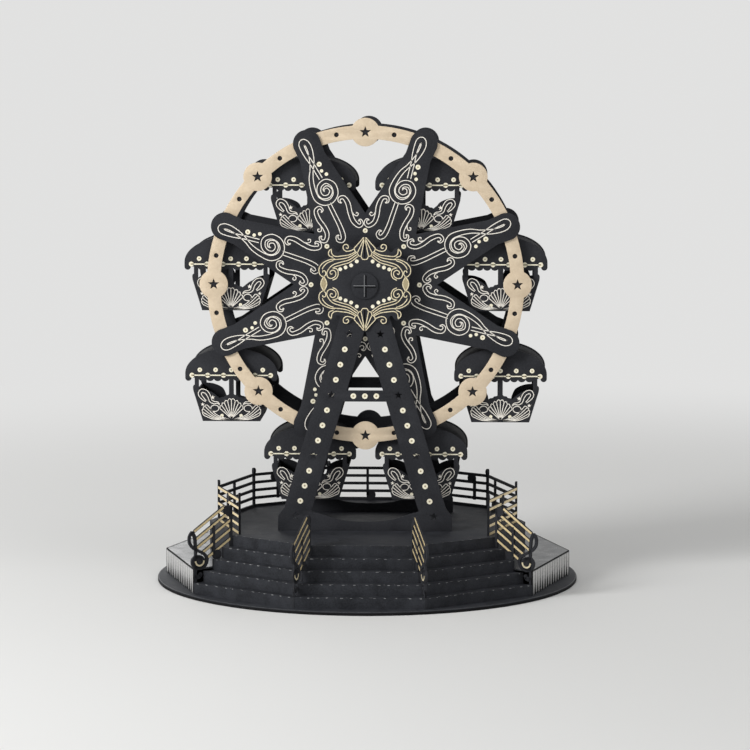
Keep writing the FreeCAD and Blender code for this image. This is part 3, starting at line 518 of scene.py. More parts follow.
def frameOpenings():
    def inner(z):
        return legMiddle(z) - legHalf

    deck = platform["deckLevel"]
    low, high = aFrame["brace"]
    apex = aFrame["gauge"] + (aFrame["reach"] - legHalf) / legSlope - aFrame["apexDrop"]
    upper = [(-inner(high), high), (inner(high), high), (inner(apex), apex), (-inner(apex), apex)]
    side, corner = deck + aFrame["archRise"], aFrame["archCorner"]
    bend = spline([(inner(side + corner), side + corner), (inner(side) + 0.05 * corner, side - 0.2 * corner),
                   (inner(side) - 2 * corner, side - 0.8 * corner)], 5)
    out, up = aFrame["archShoulder"]
    middle = deck + aFrame["archMiddle"]
    shoulders = [bend[-1], (out, middle + up)]
    arch = spline(shoulders + [(0.0, middle)] + mirrored(shoulders)[::-1])
    lower = [(inner(low), low)] + bend + arch[1:-1] + mirrored(bend)[::-1] + [(-inner(low), low)]
    return [upper, lower]


frameLoops = [frameOutline()] + frameOpenings() + [roundLoop(0.0, wheel["hubHeight"], aFrame["axleHole"], 24)]
legDots = []
for k in range(aFrame["marks"] + 1):
    x, z = legMark(k)
    for across in (x, -x):
        if k % aFrame["starEvery"] == 0:
            frameLoops.append(starLoop(across, z, aFrame["star"]))
        else:
            legDots.append((across, z, aFrame["dot"]))
legDots += [(x, sum(aFrame["brace"]) / 2, aFrame["dot"]) for x in aFrame["braceDots"]]
for end in ("front", "rear"):
    cardPiece(end + "_legs", frameLoops, aFrame[end + "Faces"], "stand", end + "_frame", place=at(0.0, 0.0))
dots("leg_dots", legDots, "stand", aFrame["frontFaces"][0])
print("A-frames cut")

# hub cartouche; outline and print are one quarter, mirrored both ways
cartouche = {
    "faces": (-37.6, -36.6), "lift": 1.1, "line": 0.5,
    "lens": (23.75, 4.6, 1.75),  # middle, half height and half width
    "edge": [(0.0, 27.6), (2.2, 26.6), (4.4, 22.9), (7.2, 21.0), (9.4, 22.9), (12.4, 22.6), (13.7, 19.8),
             (15.6, 18.4), (17.2, 20.4), (19.6, 21.2), (21.0, 18.6), (20.4, 15.6), (23.6, 14.2), (26.6, 11.6),
             (27.6, 8.2), (26.4, 4.6), (25.7, 0.0)],
    "shellApex": (0.0, 27.0),
    "shellTips": [(0.0, 15.0), (2.2, 15.9), (4.3, 18.0)],
    "shellEdges": [
        [(0.6, 27.0), (3.0, 24.2), (6.1, 20.8)],
        [(6.1, 20.8), (5.6, 19.0), (4.3, 18.0), (3.6, 16.4), (2.2, 15.9), (1.3, 14.4), (0.0, 14.2)],
    ],
    "bands": [
        [(5.4, 18.6), (9.0, 16.9), (13.4, 16.2), (17.0, 16.0), (19.0, 17.4), (19.4, 20.3)],
        [(5.0, 18.0), (9.4, 15.4), (14.2, 14.4), (18.4, 14.1)],
        [(4.6, 17.0), (9.0, 14.0), (13.6, 12.7), (18.2, 11.2), (20.8, 8.9)],
        [(4.0, 16.0), (8.6, 12.6), (13.0, 11.2), (17.2, 9.9), (18.9, 9.1)],
        [(17.4, 14.6), (21.0, 13.8), (24.4, 12.0), (26.4, 9.2), (26.3, 6.0), (24.4, 4.2), (22.7, 5.3),
         (22.9, 7.3), (24.2, 7.5), (24.4, 6.6)],
        [(18.2, 13.6), (21.6, 12.2), (23.9, 10.0), (24.6, 8.4)],
        [(18.2, 15.4), (20.6, 16.4), (20.9, 18.6), (19.4, 20.3)],
        [(20.6, 9.0), (22.0, 6.4), (21.3, 3.8), (19.1, 3.2), (17.0, 4.6), (16.9, 6.9), (18.6, 8.0),
         (20.1, 6.9), (19.6, 5.6), (18.7, 6.0)],
        [(18.8, 9.2), (16.0, 8.5), (15.4, 5.8), (16.4, 3.4), (18.6, 2.2)],
        [(6.2, 20.2), (8.4, 19.2), (10.8, 19.0), (12.4, 20.4), (12.2, 22.4), (10.4, 22.9), (9.4, 21.6),
         (10.0, 20.6), (10.9, 21.0)],
    ],
    "dots": [(4.6, 13.1, 1.1), (7.9, 10.8, 1.1), (11.1, 9.6, 1.1), (14.2, 8.5, 1.1)],
}
rightEdge = cartouche["edge"] + mirrored(cartouche["edge"][-2::-1], False, True)
edgeLoop = spline(rightEdge + mirrored(rightEdge)[-2:0:-1], 4, closed=True)
printPlace = at(0.0, wheel["hubHeight"] + cartouche["lift"])
printFace = cartouche["faces"][0]
axleHole = roundLoop(0, -cartouche["lift"], aFrame["axleHole"], 24)
cardPiece("cartouche", [edgeLoop, axleHole], cartouche["faces"], "stand", "hub_cartouche", place=printPlace)
quarterLines = [spline(edge, 5) for edge in cartouche["shellEdges"]]
quarterLines += [spline([cartouche["shellApex"], tip], 4) for tip in cartouche["shellTips"]]
quarterLines += [spline(band, 6) for band in cartouche["bands"]]
goldLines, goldDots = [], []
for flipX in (False, True):
    for flipZ in (False, True):
        goldLines += [mirrored(line, flipX, flipZ) for line in quarterLines]
        goldDots += mirrored(cartouche["dots"], flipX, flipZ)
lensX, lensTall, lensWide = cartouche["lens"]
lens = [(lensX + lensWide * x ** 3, lensTall * z) for x, z in roundLoop(0.0, 0.0, 1.0, 40)]
lenses = [lens, mirrored(lens)[::-1]]
foilPiece("cartouche_gold", goldFoil, "stand", printFace, goldLines, lenses, width=cartouche["line"],
          place=printPlace)
foilPiece("cartouche_lenses", eyeFoil, "stand", printFace, plates=lenses, place=printPlace, lift=-0.02)
dots("cartouche_dots", goldDots, "stand", printFace, place=printPlace)

# the cap on the axle's end, with its raised cross; each bar has a painted highlight along its upper left side
# and a painted shadow along its lower right side
cap = {
    "radius": 7.7, "disc": (-38.7, -37.9), "cross": (-39.3, -38.7), "reach": 6.622, "bar": 0.5,
    "paintedHighlight": (0.3, 0.16, -0.2),  # how much shorter than the cross, half width and shift
    # the gap cross is a painted shadow, wider than the bars and moved to their lower right
    "gap": (0.4, 0.75, 0.35),
}


def crossLoop(arm, bar, shift=0.0):
    upper = [(arm, -bar), (arm, bar), (bar, bar), (bar, arm), (-bar, arm), (-bar, bar)]
    return [(x + shift, z - shift) for x, z in upper + mirrored(upper, True, True)]


cardPiece("hub_cap", [roundLoop(0, 0, cap["radius"], 48)], cap["disc"], "wheel", "axle_cap")
cardPiece("hub_cap_cross", [crossLoop(cap["reach"], cap["bar"])], cap["cross"], "wheel", bevel=0.15)
# a lighter strip on the front of each bar is a painted highlight, and a near-black cross on the disc behind
# the bars is a painted shadow
for name, look, face, key in (("hub_cap_painted_highlight", foldWearAndHighlight, cap["cross"][0], "paintedHighlight"),
                              ("hub_cap_painted_shadow", gapAndShadeBlack, cap["disc"][0], "gap")):
    shorter, bar, shift = cap[key]
    loop = crossLoop(cap["reach"] - shorter, bar, shift)
    foilPiece(name, look, "wheel", face, plates=[loop], place=hubPlace)
print("cartouche printed")

# turned pieces; a tube has its two ends, outer radius, bore and the chamfer at each end
turnedParts = {
    "axle": (-37.9, 39.7, 3.0, 0.0, 0.3, 0.4), "sleeve": (-34.0, 34.0, 8.0, 3.05, 0.2, 0.2),
    "frontWasher": (-35.1, -34.3, 9.0, 3.05, 0.1, 0.1),
    "rearWasher": (34.3, 35.1, 9.0, 3.05, 0.1, 0.1),
    "pin": [(38.5, 0.0), (38.5, 1.5), (51.0, 1.5), (51.0, 2.4), (51.4, 2.5), (51.8, 2.1), (51.8, 0.0)],
    "knob": [(39.7, 1.55), (39.7, 3.2), (40.1, 3.7), (42.0, 3.9), (45.2, 4.0), (48.6, 3.9), (50.2, 3.5),
             (50.7, 2.9), (50.7, 1.55)],
}
crank = {"throw": 28.0, "half": 5.0, "faces": (36.9, 39.4), "bore": 3.02, "bevel": 0.25}


def tube(near, far, outer, bore, nearCut, farCut):
    return [(near, bore), (near, outer - nearCut), (near + nearCut, outer), (far - farCut, outer),
            (far, outer - farCut), (far, bore)]


def lathe(name, profile, body, node=None, look=blackCard, place=hubPlace, segments=40):
    # profile is (y, radius) along the axle's direction; the end radii are both zero or both a bore
    work = bmesh.new()
    rows = [[(x, y, z) for x, z in roundLoop(0.0, 0.0, radius, segments)] for y, radius in profile]
    addSkin(work, rows, profile[0][1] > 0.0, False)
    bmesh.ops.remove_doubles(work, verts=work.verts, dist=0.000001)
    piece = showObject(name, solidMesh(name, work, place), look, body, angle=40.0)
    if node:
        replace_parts(piece, node)


lathe("axle_bar", tube(*turnedParts["axle"]), "wheel", "axle", stainedWood)
lathe("sleeve_tube", tube(*turnedParts["sleeve"]), "wheel", "wheel_sleeve")
lathe("washer_front", tube(*turnedParts["frontWasher"]), "stand")
lathe("washer_rear", tube(*turnedParts["rearWasher"]), "stand", "frame_washers")
crankLoop = arcLoop((0.0, 0.0), crank["half"], 0.0, 180.0, 20)
crankLoop += arcLoop((0.0, -crank["throw"]), crank["half"], 180.0, 360.0, 20)
crankLoops = [crankLoop, roundLoop(0, 0, crank["bore"], 32)]
cardPiece("crank_plate", crankLoops, crank["faces"], "wheel", "crank_arm", bevel=crank["bevel"])
pinPlace = at(0.0, wheel["hubHeight"] - crank["throw"])
lathe("crank_pin", turnedParts["pin"], "wheel", None, stainedWood, pinPlace, 28)
lathe("knob_turned", turnedParts["knob"], "knob", "crank_knob", stainedWood, pinPlace)
print("turned pieces made")

# gondolas, drawn about their pivot
gondola = {
    "half": 27.1, "rise": 15.0, "spring": -20.0, "eave": -22.7, "scallop": 1.9, "scallops": 4,
    "lobeGap": 0.9, "post": 1.3, "sideIn": 19.2, "sideOut": 21.6, "sill": -30.3, "tubHalf": 22.4,
    "tubFoot": 16.9, "tubDrop": -48.3,
    "sunk": 6.0,  # how much deeper the rear panel's window is
    "lug": 2.8, "card": 0.8, "depth": 24.5, "rodHole": 1.05,
    "shoulder": [(0.0, -4.0), (0.75, -4.6), (1.0, -5.8)],  # outwards from the side, down from the eave
    "crown": [(0.0, -9.4), (0.5, -10.1), (1.4, -10.4), (2.3, -10.5), (3.0, -11.3), (3.9, -11.5), (4.7, -11.6),
              (5.5, -12.2)],
    "crownStep": 0.4,
    "seatBack": [(7.7, -10.4), (10.4, -8.5), (14.2, -7.2)],
    "seatTop": -6.8,
}


def canopyLine(inset, first, last, steps):
    wide, tall = gondola["half"] - inset, gondola["rise"] - inset
    return [(wide * x, gondola["spring"] + tall * z) for x, z in arcLoop((0.0, 0.0), 1.0, first, last, steps)]


def halfPanel():
    # right half of the outline, from the canopy's side down round the tub to the bottom
    g = gondola
    lobe = (g["half"] - g["sideOut"]) / 2 - g["lobeGap"]
    side = arcLoop((g["half"] - lobe, g["eave"]), lobe, 0.0, -180.0, 10) + [(g["sideOut"], g["eave"])]
    shoulder = [(g["sideOut"] + x, g["eave"] + z) for x, z in g["shoulder"]]
    return side + spline(shoulder + [(g["tubHalf"], g["sill"])], 4) + [(g["tubFoot"], g["tubDrop"])]


def windowLoop(side, sunk):
    g = gondola
    radius = (g["sideIn"] - g["post"]) / g["scallops"] / 2
    arc = arcLoop((0.0, 0.0), 1.0, 0.0, -180.0, 8)
    line = []
    for k in range(g["scallops"]):
        middle = g["sideIn"] - (2 * k + 1) * radius
        line += [(middle + x * radius, g["eave"] + z * g["scallop"]) for x, z in arc]
    line += spline([(g["post"] + x, g["eave"] + z - sunk) for x, z in g["crown"]], 4)
    if sunk:
        line.append((line[-1][0] + g["crownStep"], line[-1][1] + g["crownStep"] * sunk))
    lift = g["eave"] - sunk / 4
    back = [(g["post"] + x, lift + z) for x, z in g["seatBack"]]
    line += spline([line[-1]] + back + [(g["sideIn"], lift + g["seatTop"])], 5)[1:]
    return [(side * x, z) for x, z in line]


def panelLoops(sunk):
    foot = degrees(acos(gondola["lug"] / gondola["half"]))
    right = canopyLine(0.0, foot, 0.0, 22) + halfPanel()
    outline = right + mirrored(right)[::-1] + arcLoop((0.0, 0.0), gondola["lug"], 180.0, 0.0, 12)
    return [outline, windowLoop(1, sunk), windowLoop(-1, sunk), roundLoop(0, 0, gondola["rodHole"], 16)]


# foil on each gondola's front panel; scroll and stars are drawn on the right and mirrored
tubPrint = {
    "line": 0.43,
    "beads": [  # height, radius and places
        (-21.2, 1.45, (-23.1, -13.9, -4.6, 4.6, 13.9, 23.1)),
        (-18.0, 1.35, (-18.5, -9.24, 0.0, 9.24, 18.5)),
        (-45.0, 1.0, (-5.6, 5.6)),
    ],
    "beadRail": [(-23.1, -21.2), (23.1, -21.2)],
    "railLine": 0.7,
    "shell": {"x": 0.0, "z": -46.8, "reach": 11.2, "ribs": 9, "spread": 48.6, "short": 0.20, "root": 0.05,
              "tip": 1.09},
    "oval": (9.8, -40.7, 2.4, 1.9),
    "scroll": [(6.9, -38.6, 0.1), (8.2, -37.4, 0.4), (10.4, -37.3, 0.7), (12.2, -36.2, 0.8),
               (13.2, -33.4, 0.9), (15.0, -31.0, 1.0), (17.5, -30.4, 1.0), (18.6, -32.4, 0.9),
               (17.0, -34.8, 0.7), (15.0, -36.6, 0.3)],
    "stars": [(11.0, -34.3, 1.4), (16.9, -38.4, 1.2)],
    "sprayRoot": (1.2, -47.3),
    "sprayBends": [(8.6, -44.6), (9.2, -45.3), (9.7, -46.0), (10.0, -46.6), (10.2, -47.2)],
    "sprayTips": [(14.2, -38.8), (15.6, -39.6), (16.6, -41.0), (17.0, -42.9), (16.2, -45.0)],
    "sprayBulge": (0.45, 0.3),
}


def shellLines(x, z, reach, ribs, spread, short, root, tip):
    lines, tips = [], []
    for k in range(ribs):
        angle = 90.0 - spread + 2 * spread * k / (ribs - 1)
        across, up = polar(reach * (1.0 - short * abs(angle - 90.0) / spread), angle)
        tips.append((across, up))
        lines.append([(x + root * across, z + root * up), (x + across, z + up)])
    for a, b in zip(tips, tips[1:]):
        top = ((a[0] + b[0]) / 2 * tip, (a[1] + b[1]) / 2 * tip)
        lines.append(spline([(x + p[0], z + p[1]) for p in (a, top, b)], 5))
    return lines


def tubStrips():
    bulgeX, bulgeZ = tubPrint["sprayBulge"]
    tips = tubPrint["sprayTips"]
    right = [spline([tubPrint["sprayRoot"], bend, tip], 7) for bend, tip in zip(tubPrint["sprayBends"], tips)]
    for a, b in zip(tips, tips[1:]):
        right.append(spline([a, ((a[0] + b[0]) / 2 + bulgeX, (a[1] + b[1]) / 2 + bulgeZ), b], 4))
    right += hollow(tubPrint["scroll"], 5)
    return shellLines(**tubPrint["shell"]) + right + [mirrored(line) for line in right]


card, depth = gondola["card"], gondola["depth"]
roofLoop = canopyLine(card, 0.0, 180.0, 44) + canopyLine(2 * card, 180.0, 0.0, 44)
frontPanel = cutCard("gondola_front", panelLoops(0.0), (-depth, card - depth))
rearPanel = cutCard("gondola_rear", panelLoops(gondola["sunk"]), (depth - card, depth))
roofMesh = cutCard("gondola_roof", [roofLoop], (card - depth, depth - card), 0.06)
cards = (("front", frontPanel, blackCard), ("rear", rearPanel, blackCard), ("roof", roofMesh, roofCard))
tubLines = tubStrips()
ovalX, ovalZ, ovalWide, ovalTall = tubPrint["oval"]
oval = [(ovalX + ovalWide * x, ovalZ + ovalTall * z) for x, z in roundLoop(0.0, 0.0, 1.0, 18)]
ovals = [oval, mirrored(oval)[::-1]]
stars = [starLoop(side * x, z, r) for x, z, r in tubPrint["stars"] for side in (1, -1)]
beads = [(x, z, r) for z, r, places in tubPrint["beads"] for x in places]
for number in range(1, wheel["arms"] + 1):
    x, z = polar(wheel["pivotRadius"], (number - 0.5) * armStep)
    place = at(x, wheel["hubHeight"] + z)
    body = "gondola_%d" % number
    for tag, source, look in cards:
        mesh = source.copy()
        mesh.transform(place)
        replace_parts(showObject("%s_%s_card" % (body, tag), mesh, look, body), "%s_%s" % (body, tag))
    foilPiece(body + "_scrolls", creamFoil, body, -depth, tubLines, ovals, stars, tubPrint["line"],
              place=place)
    foilPiece(body + "_bead_rail", dotFoil, body, -depth, [tubPrint["beadRail"]], width=tubPrint["railLine"],
              place=place)
    dots(body + "_beads", beads, body, -depth, place=place)
for mesh in (frontPanel, rearPanel, roofMesh):
    bpy.data.meshes.remove(mesh)
print("gondolas made")

# base disc, with painted shade on the lower part of its side and the worn rim on top
base = {
    "radius": 125.0, "thick": 2.0,
    "edge": {"deep": 0.12, "lap": 0.2, "low": 0.1, "drop": 0.45},
    "rim": {"in": 0.25, "wide": 0.4, "sunk": 0.2, "proud": 0.03},
    "corners": 180,
}


def basePiece(name, radii, low, high, look, bevel, node=None):
    loops = [roundLoop(0, 0, radius, base["corners"]) for radius in radii]
    cardPiece(name, loops, (low, high), "stand", node, look, bevel=bevel, place=quarterTurn)


thick, edge, rim = base["thick"], base["edge"], base["rim"]
disc = base["radius"] - edge["deep"]
rimOut = disc - rim["in"]
basePiece("base_round", [disc], 0.0, thick, stairCard, 0.3, "base_disc")
# a near-black ring over the lower part of the disc's side is painted shade
basePiece("base_edge_shade", [base["radius"], disc - edge["lap"]], edge["low"], thick - edge["drop"],
          gapAndShadeBlack, 0.04)
basePiece("base_worn_rim", [rimOut, rimOut - rim["wide"]], thick - rim["sunk"], thick + rim["proud"],
          stripWear, 0.02)

# railings: gold staff lines, black notes and clefs
rail = {
    "pitch": 5.35, "slope": 0.63, "rise": 44.0, "gold": 1.25, "card": 1.0,
    "trim": 0.62,  # how far notes and clefs stand off the railing's middle
    "note": 2.9, "rearNote": 15.0, "noteSunk": 0.35, "stem": 1.6, "post": 1.4, "postIn": 1.3,
    "midStem": 0.6, "starts": (5.8, 0.2, 0.2, 0.2, 0.2), "ends": (0.6, 1.8, 1.8, 5.6, 9.2),
    "clef": (2.6, 8.8), "clefStroke": 1.7, "clefFoot": (-1.9, 2.0, 1.275),
    "clefBowl": (-1.3, 9.4, 3.9),
    "clefLines": [
        [(-2.2, 1.6), (-0.4, 0.2), (1.4, 1.8), (1.0, 7.0), (1.0, 14.5), (1.2, 20.0), (1.8, 24.6),
         (3.3, 27.0)],
        [(3.3, 27.0), (5.0, 24.6), (4.9, 20.8), (2.4, 17.6), (-1.2, 15.6), (-5.0, 13.4), (-6.6, 10.2),
         (-5.2, 6.9), (-1.6, 5.5), (2.2, 7.0), (3.2, 10.2), (1.2, 12.6), (-1.6, 12.3), (-2.8, 10.2)],
    ],
    "bowlArc": [(-4.2, 10.0), (-3.5, 8.1), (-1.5, 7.2), (0.5, 8.0), (1.5, 10.0)],
    "bowlLine": 1.0, "seam": 0.05,
}
floorLevel, deckLevel = platform["floorLevel"], platform["deckLevel"]
riser = (deckLevel - floorLevel) / platform["risers"]
front, back = platform["terraceRadius"], platform["deckRadius"] + rail["seam"]
railMiddle = (front + back) / 2
headRadius, stemWidth = rail["note"], rail["stem"]


def staff(x, k):
    return floorLevel + rail["rise"] - k * rail["pitch"] - (x - railMiddle) * rail["slope"]


def blackTrim(name, strips, plates, faces, place):
    # notes, stems and clefs that lie over the staff lines; strips are (line, width)
    work = bmesh.new()
    for line, width in strips:
        addStrip(work, line, width, *faces)
    for loop in plates:
        addPlate(work, loop, *faces)
    showObject(name, solidMesh(name, work, place), blackCard, "stand")


def upright(x, low, high, width):
    return [(x, low), (x, high)], width


rearStem, midStem = back + stemWidth / 2, railMiddle - rail["midStem"]
rearHead, midHead = deckLevel + rail["rearNote"], floorLevel + 3 * riser + headRadius - rail["noteSunk"]
clefX, clefZ = front - rail["clef"][0], floorLevel + rail["clef"][1]
postX = front - rail["postIn"]


def onClef(places):
    return [(clefX + x, clefZ + z) for x, z in places]


staffLines = []
for k in range(5):
    start, end = back + rail["starts"][k], front - rail["ends"][k]
    staffLines.append([(start, staff(start, k)), (end, staff(end, k))])
bowlArc = spline(onClef(rail["bowlArc"]), 5)
railStrips = [
    upright(rearStem, floorLevel + 4 * riser - 0.3, staff(back, 1) + 1.2, stemWidth),
    upright(midStem, midHead, staff(railMiddle, 1), stemWidth),
    upright(postX, floorLevel + riser - 0.4, clefZ + 1.8, rail["post"]),
]
railStrips += [(spline(onClef(places), 6), rail["clefStroke"]) for places in rail["clefLines"]]
footX, footZ, footRadius = rail["clefFoot"]
bowlX, bowlZ, bowlRadius = rail["clefBowl"]
railPlates = [
    roundLoop(rearStem + headRadius - stemWidth / 2, rearHead, headRadius, 28),
    roundLoop(midStem - headRadius + stemWidth / 2, midHead, headRadius, 28),
    roundLoop(clefX + footX, clefZ + footZ, footRadius, 16),
    roundLoop(clefX + bowlX, clefZ + bowlZ, bowlRadius, 28),
]
for number in range(1, 5):
    outward = platform["front"] + (number - 2.5) * platform["facet"]
    place = Matrix.Rotation(radians(outward), 4, "Z")
    for facing, tag in ((-1, "near"), (1, "far")):
        foilPiece("rail_%d_gold_%s" % (number, tag), railFoil, "stand", facing * rail["card"] / 2, staffLines,
                  width=rail["gold"], facing=facing, place=place)
        foilPiece("rail_%d_bowl_%s" % (number, tag), goldFoil, "stand", facing * rail["trim"], [bowlArc],
                  width=rail["bowlLine"], facing=facing, place=place)
    blackTrim("rail_%d_notes" % number, railStrips, railPlates, (-rail["trim"], rail["trim"]), place)

# fence round the deck; each facet's note is (stem's place, head up or down, side of the head)
fence = {
    "radius": 89.5, "pitch": 4.8, "line": 1.7, "gold": 1.5, "post": 0.65,
    "knob": [(0.0, -0.3), (0.0, 3.5), (0.5, 3.4), (0.95, 2.8), (1.2, 2.0), (1.22, 1.2), (1.0, 0.4),
             (0.65, -0.3)],
    "faces": (-0.12, 1.12),
    "notes": {2: (3.0, True, -1), 3: (-13.0, False, -1), 4: (17.5, True, -1), 5: (-3.0, False, 1),
              6: (-9.9, True, -1), 7: (-3.0, False, 1), 8: (3.0, True, -1)},
}
halfFacet = radians(platform["facet"] / 2)
halfTan = tan(halfFacet)
fenceInner = fence["radius"] * cos(halfFacet) - rail["card"]
fenceHalf = fenceInner * halfTan - rail["seam"]
fenceTop = 4 * fence["pitch"] + fence["line"]


def facetPlace(facet, apothem, level=0.0):
    # local X runs along the facet, local Y points outwards
    outward = platform["front"] + facet * platform["facet"]
    x, y = polar(apothem, outward)
    turn = Matrix.Rotation(radians(outward - 90.0), 4, "Z")
    return Matrix.Translation((x * mm, y * mm, level * mm)) @ turn


fenceLines = []
for k in range(5):
    z = k * fence["pitch"] + fence["line"] / 2
    fenceLines.append([(0.1 - fenceHalf, z), (fenceHalf - 0.1, z)])
for facet, (stemX, headUp, headSide) in fence["notes"].items():
    place = facetPlace(facet, fenceInner, deckLevel)
    foilPiece("fence_%d_gold" % facet, railFoil, "stand", rail["card"], fenceLines, width=fence["gold"],
              facing=1, place=place)
    if headUp:
        stemLow, stemHigh, headZ = fence["pitch"] - 0.4, fenceTop - headRadius, fenceTop - headRadius - 0.4
    else:
        stemLow, stemHigh, headZ = headRadius, fenceTop - fence["line"] / 2, headRadius + 0.2
    strips = [upright(stemX, stemLow, stemHigh, stemWidth)]
    plates = [roundLoop(stemX + headSide * (headRadius - stemWidth / 2), headZ, headRadius, 28)]
    for side in (-1, 1):
        strips.append(upright(side * (fenceHalf - fence["post"] / 2), 0.0, fenceTop, fence["post"]))
        plates.append([(side * (fenceHalf - x), fenceTop + z) for x, z in fence["knob"]])
    blackTrim("fence_%d_notes" % facet, strips, plates, fence["faces"], place)
print("railings and fence dressed")

# silver spikes and the dark gaps between them on the terrace's walls
stripes = {
    "pitch": 4.9, "end": 2.9, "wide": 2.1, "waist": 1.85, "narrow": 0.7, "top": 15.7, "turn": 9.6,
    "low": 2.5, "lowShare": 0.3, "stagger": (0.0, 1.6, 0.5, 2.2, 0.9),
    "gap": {"clear": 0.1, "foot": 0.4, "tip": 2.2, "point": 0.25, "lift": -0.03},
    "edge": 0.55, "edgeProud": 0.06,
}
terraceApothem = platform["terraceRadius"] * cos(halfFacet)
deckApothem = platform["deckRadius"] * cos(halfFacet)
halfWall = terraceApothem * halfTan - stripes["end"]
spikeCount = int(2 * halfWall / stripes["pitch"])
spikes, gaps = [], []
stagger, gap = stripes["stagger"], stripes["gap"]
for k in range(spikeCount + 1):
    x = -halfWall + 2 * halfWall * k / spikeCount
    low, turn = stripes["low"] + stripes["lowShare"] * stagger[k % 5], stripes["turn"] + stagger[(k + 2) % 5]
    right = [(stripes["wide"], stripes["top"]), (stripes["waist"], turn), (stripes["narrow"], low)]
    spikes.append([(x + a, z) for a, z in right] + [(x - a, z) for a, z in right[::-1]])
gapHalf = halfWall / spikeCount - stripes["narrow"] - gap["clear"]
for k in range(spikeCount):
    x = -halfWall + 2 * halfWall * (k + 0.5) / spikeCount
    foot, tip = stripes["low"] - gap["foot"], stripes["turn"] - gap["tip"] + stagger[(3 * k) % 5]
    gaps.append([(x - gapHalf, foot), (x + gapHalf, foot), (x + gap["point"], tip), (x - gap["point"], tip)])
for facet in fence["notes"]:
    place = facetPlace(facet, terraceApothem)
    foilPiece("terrace_%d_stripes" % facet, silverFoil, "stand", 0.0, plates=spikes, facing=1, place=place)
    foilPiece("terrace_%d_gaps" % facet, gapAndShadeBlack, "stand", 0.0, plates=gaps, facing=1, place=place,
              lift=gap["lift"])


def addBar(work, low, high, place):
    # a plain bar between two corners, in mm
    for vert in bmesh.ops.create_cube(work, size=1.0)["verts"]:
        local = [low[i] + (vert.co[i] + 0.5) * (high[i] - low[i]) for i in range(3)]
        vert.co = place @ Vector([c * mm for c in local])


# perforation flecks along the folds of stairs and terrace, lighter card that is partly a painted highlight on
# the fold edges
random.seed(7)
folds = {
    "dash": 1.3, "gap": 5.2, "width": 0.32, "end": 1.3, "first": 1.0, "last": 1.6, "inset": 0.1,
    "sunk": 0.02, "proud": 0.05, "dashSpread": (0.5, 1.3), "widthSpread": (0.7, 1.3),
    "gapSpread": (0.7, 1.4),
}


def foldDashes(work, facet, apothem, level, top):
    # one fold's flecks and painted highlight, on the tread or on the riser under it
    place = facetPlace(facet, apothem, level)
    reach = apothem * halfTan - folds["end"]
    inset, sunk, proud = folds["inset"], folds["sunk"], folds["proud"]
    x = -reach + folds["first"]
    while x < reach - folds["last"]:
        length = folds["dash"] * random.uniform(*folds["dashSpread"])
        wide = folds["width"] * random.uniform(*folds["widthSpread"])
        if top:
            low, high = (x, -wide - inset, -sunk), (x + length, -inset, proud)
        else:
            low, high = (x, -sunk, -wide - inset), (x + length, proud, -inset)
        addBar(work, low, high, place)
        x += length + folds["gap"] * random.uniform(*folds["gapSpread"])


work = bmesh.new()
run = (terraceApothem - deckApothem) / (platform["risers"] - 1)
for facet in (-1, 0, 1):
    for k in range(platform["risers"] - 1):
        for top in (True, False):
            foldDashes(work, facet, terraceApothem - k * run, floorLevel + (k + 1) * riser, top)
    foldDashes(work, facet, deckApothem, deckLevel, True)
for facet in fence["notes"]:
    foldDashes(work, facet, terraceApothem, platform["terraceLevel"], True)
showObject("fold_flecks_and_highlight", solidMesh("fold_flecks_and_highlight", work), foldWearAndHighlight, "stand", smooth=False)

# the bare dark edge of the terrace's top and corners, where its foil stops
work = bmesh.new()
edge, proud, reach = stripes["edge"], stripes["edgeProud"], terraceApothem * halfTan
cornerLow = floorLevel - platform["terraceLevel"] + 0.05
for facet in fence["notes"]:
    place = facetPlace(facet, terraceApothem, platform["terraceLevel"])
    addBar(work, (-reach, -edge, -edge), (reach, proud, proud), place)
    for start in (-reach, reach - edge):
        addBar(work, (start, -edge, cornerLow), (start + edge, proud, -edge - 0.02), place)
showObject("terrace_edges", solidMesh("terrace_edges", work), gapAndShadeBlack, "stand", smooth=False)

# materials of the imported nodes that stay; those not named here are black card
nodeLooks = {"lower_terrace": terraceCard, "gondola_rods": stainedWood}
for name in ("upper_platform", "stairs_left", "stairs_front", "stairs_right"):
    nodeLooks[name] = stairCard
for name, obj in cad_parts.items():
    look = nodeLooks.get(name, blackCard)
    if obj.data.materials:
        obj.data.materials[0] = look
    else:
        obj.data.materials.append(look)
print("platform dressed")

# floor, lights and camera; lengths in metres
studio = {
    "distance": 1.731, "height": 0.310, "azimuth": 2.2, "pitch": 6.22, "offsetPixels": 7.8,
    "focalPixels": 2930.0, "imageSide": 750.0, "sensor": 36.0, "aim": (0.0, 0.0, 0.12),
    "lamps": {
        "key": {"azimuth": -52.0, "elevation": 24.0, "reach": 1.6, "size": 0.6, "power": 19.0},
        "fill": {"azimuth": 50.0, "elevation": 35.0, "reach": 2.0, "size": 1.6, "power": 6.0},
        "back": {"azimuth": -157.0, "elevation": 13.0, "reach": 1.5, "size": 0.8, "power": 3.2},
    },
    "sky": 0.42, "backdrop": (0.755, 0.755, 0.750), "floorTone": (0.80, 0.80, 0.79),
    "floorSize": 12.0, "fade": (0.35, 1.1),
}

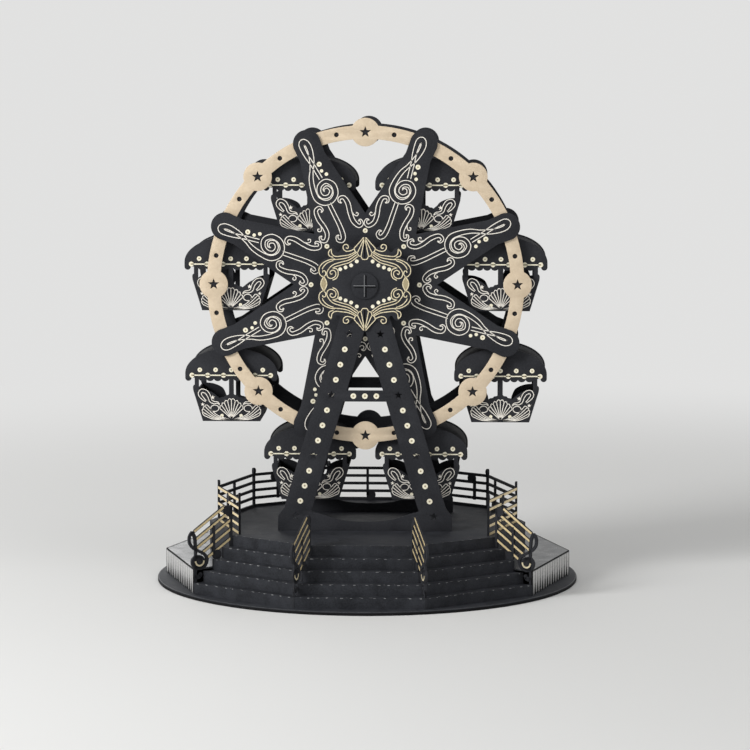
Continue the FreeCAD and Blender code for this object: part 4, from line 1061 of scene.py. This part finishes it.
# the floor takes the object's shadow near it, and further out it turns into the backdrop's plain tone
floorMaterial = bpy.data.materials.new("studioFloor")
floorMaterial.use_nodes = True
tree = floorMaterial.node_tree
shader = tree.nodes["Principled BSDF"]
shader.inputs["Base Color"].default_value = (*studio["floorTone"], 1.0)
shader.inputs["Roughness"].default_value = 0.9
shader.inputs["Specular IOR Level"].default_value = 0.1
place = addNode(tree, "ShaderNodeTexCoord").outputs["Object"]
reach = addNode(tree, "ShaderNodeVectorMath", {0: place}, operation="LENGTH").outputs["Value"]
fadeInputs = {"Value": reach, "From Min": studio["fade"][0], "From Max": studio["fade"][1]}
share = addNode(tree, "ShaderNodeMapRange", fadeInputs, interpolation_type="SMOOTHSTEP").outputs[0]
plainTone = addNode(tree, "ShaderNodeEmission", {"Color": (*studio["backdrop"], 1.0)})
blend = addNode(tree, "ShaderNodeMixShader", {0: share})
tree.links.new(shader.outputs[0], blend.inputs[1])
tree.links.new(plainTone.outputs[0], blend.inputs[2])
tree.links.new(blend.outputs[0], tree.nodes["Material Output"].inputs["Surface"])
work = bmesh.new()
bmesh.ops.create_grid(work, x_segments=1, y_segments=1, size=studio["floorSize"])
floorMesh = bpy.data.meshes.new("floor")
work.to_mesh(floorMesh)
work.free()
floorMesh.materials.append(floorMaterial)
linked("floor", floorMesh)

# the camera, mirrors and glass see the backdrop's own tone, and all else gets the dimmer sky
world = bpy.data.worlds.new("studioWorld")
bpy.context.scene.world = world
world.use_nodes = True
tree = world.node_tree
background = tree.nodes["Background"]
background.inputs["Color"].default_value = (*studio["backdrop"], 1.0)
rays = addNode(tree, "ShaderNodeLightPath").outputs
seen = maths(tree, "MAXIMUM", rays["Is Camera Ray"], rays["Is Glossy Ray"])
seen = maths(tree, "MAXIMUM", seen, rays["Is Transmission Ray"])
skyShare = studio["sky"] / studio["backdrop"][0]
tree.links.new(spreadOut(tree, seen, 0.0, 1.0, skyShare, 1.0), background.inputs["Strength"])


def addLamp(name, azimuth, elevation, reach, size, power):
    lamp = bpy.data.lights.new(name, "AREA")
    lamp.shape = "DISK"
    lamp.size = size
    lamp.energy = power
    holder = linked(name, lamp)
    turn, lift = radians(azimuth), radians(elevation)
    direction = Vector((sin(turn) * cos(lift), -cos(turn) * cos(lift), sin(lift)))
    holder.location = Vector(studio["aim"]) + direction * reach
    holder.rotation_euler = (-direction).to_track_quat("-Z", "Y").to_euler()


for name, lamp in studio["lamps"].items():
    addLamp(name, **lamp)

cameraData = bpy.data.cameras.new("camera")
cameraData.sensor_width = studio["sensor"]
cameraData.lens = studio["focalPixels"] * studio["sensor"] / studio["imageSide"]
cameraData.clip_end = 50.0
camera = linked("camera", cameraData)
turn, away = radians(studio["azimuth"]), studio["distance"]
camera.location = (away * sin(turn), -away * cos(turn), studio["height"])
yaw = turn - atan(studio["offsetPixels"] / studio["focalPixels"])
camera.rotation_euler = (pi / 2 - radians(studio["pitch"]), 0.0, yaw)
bpy.context.scene.camera = camera
bpy.context.scene.view_settings.view_transform = "Standard"
print("studio set")
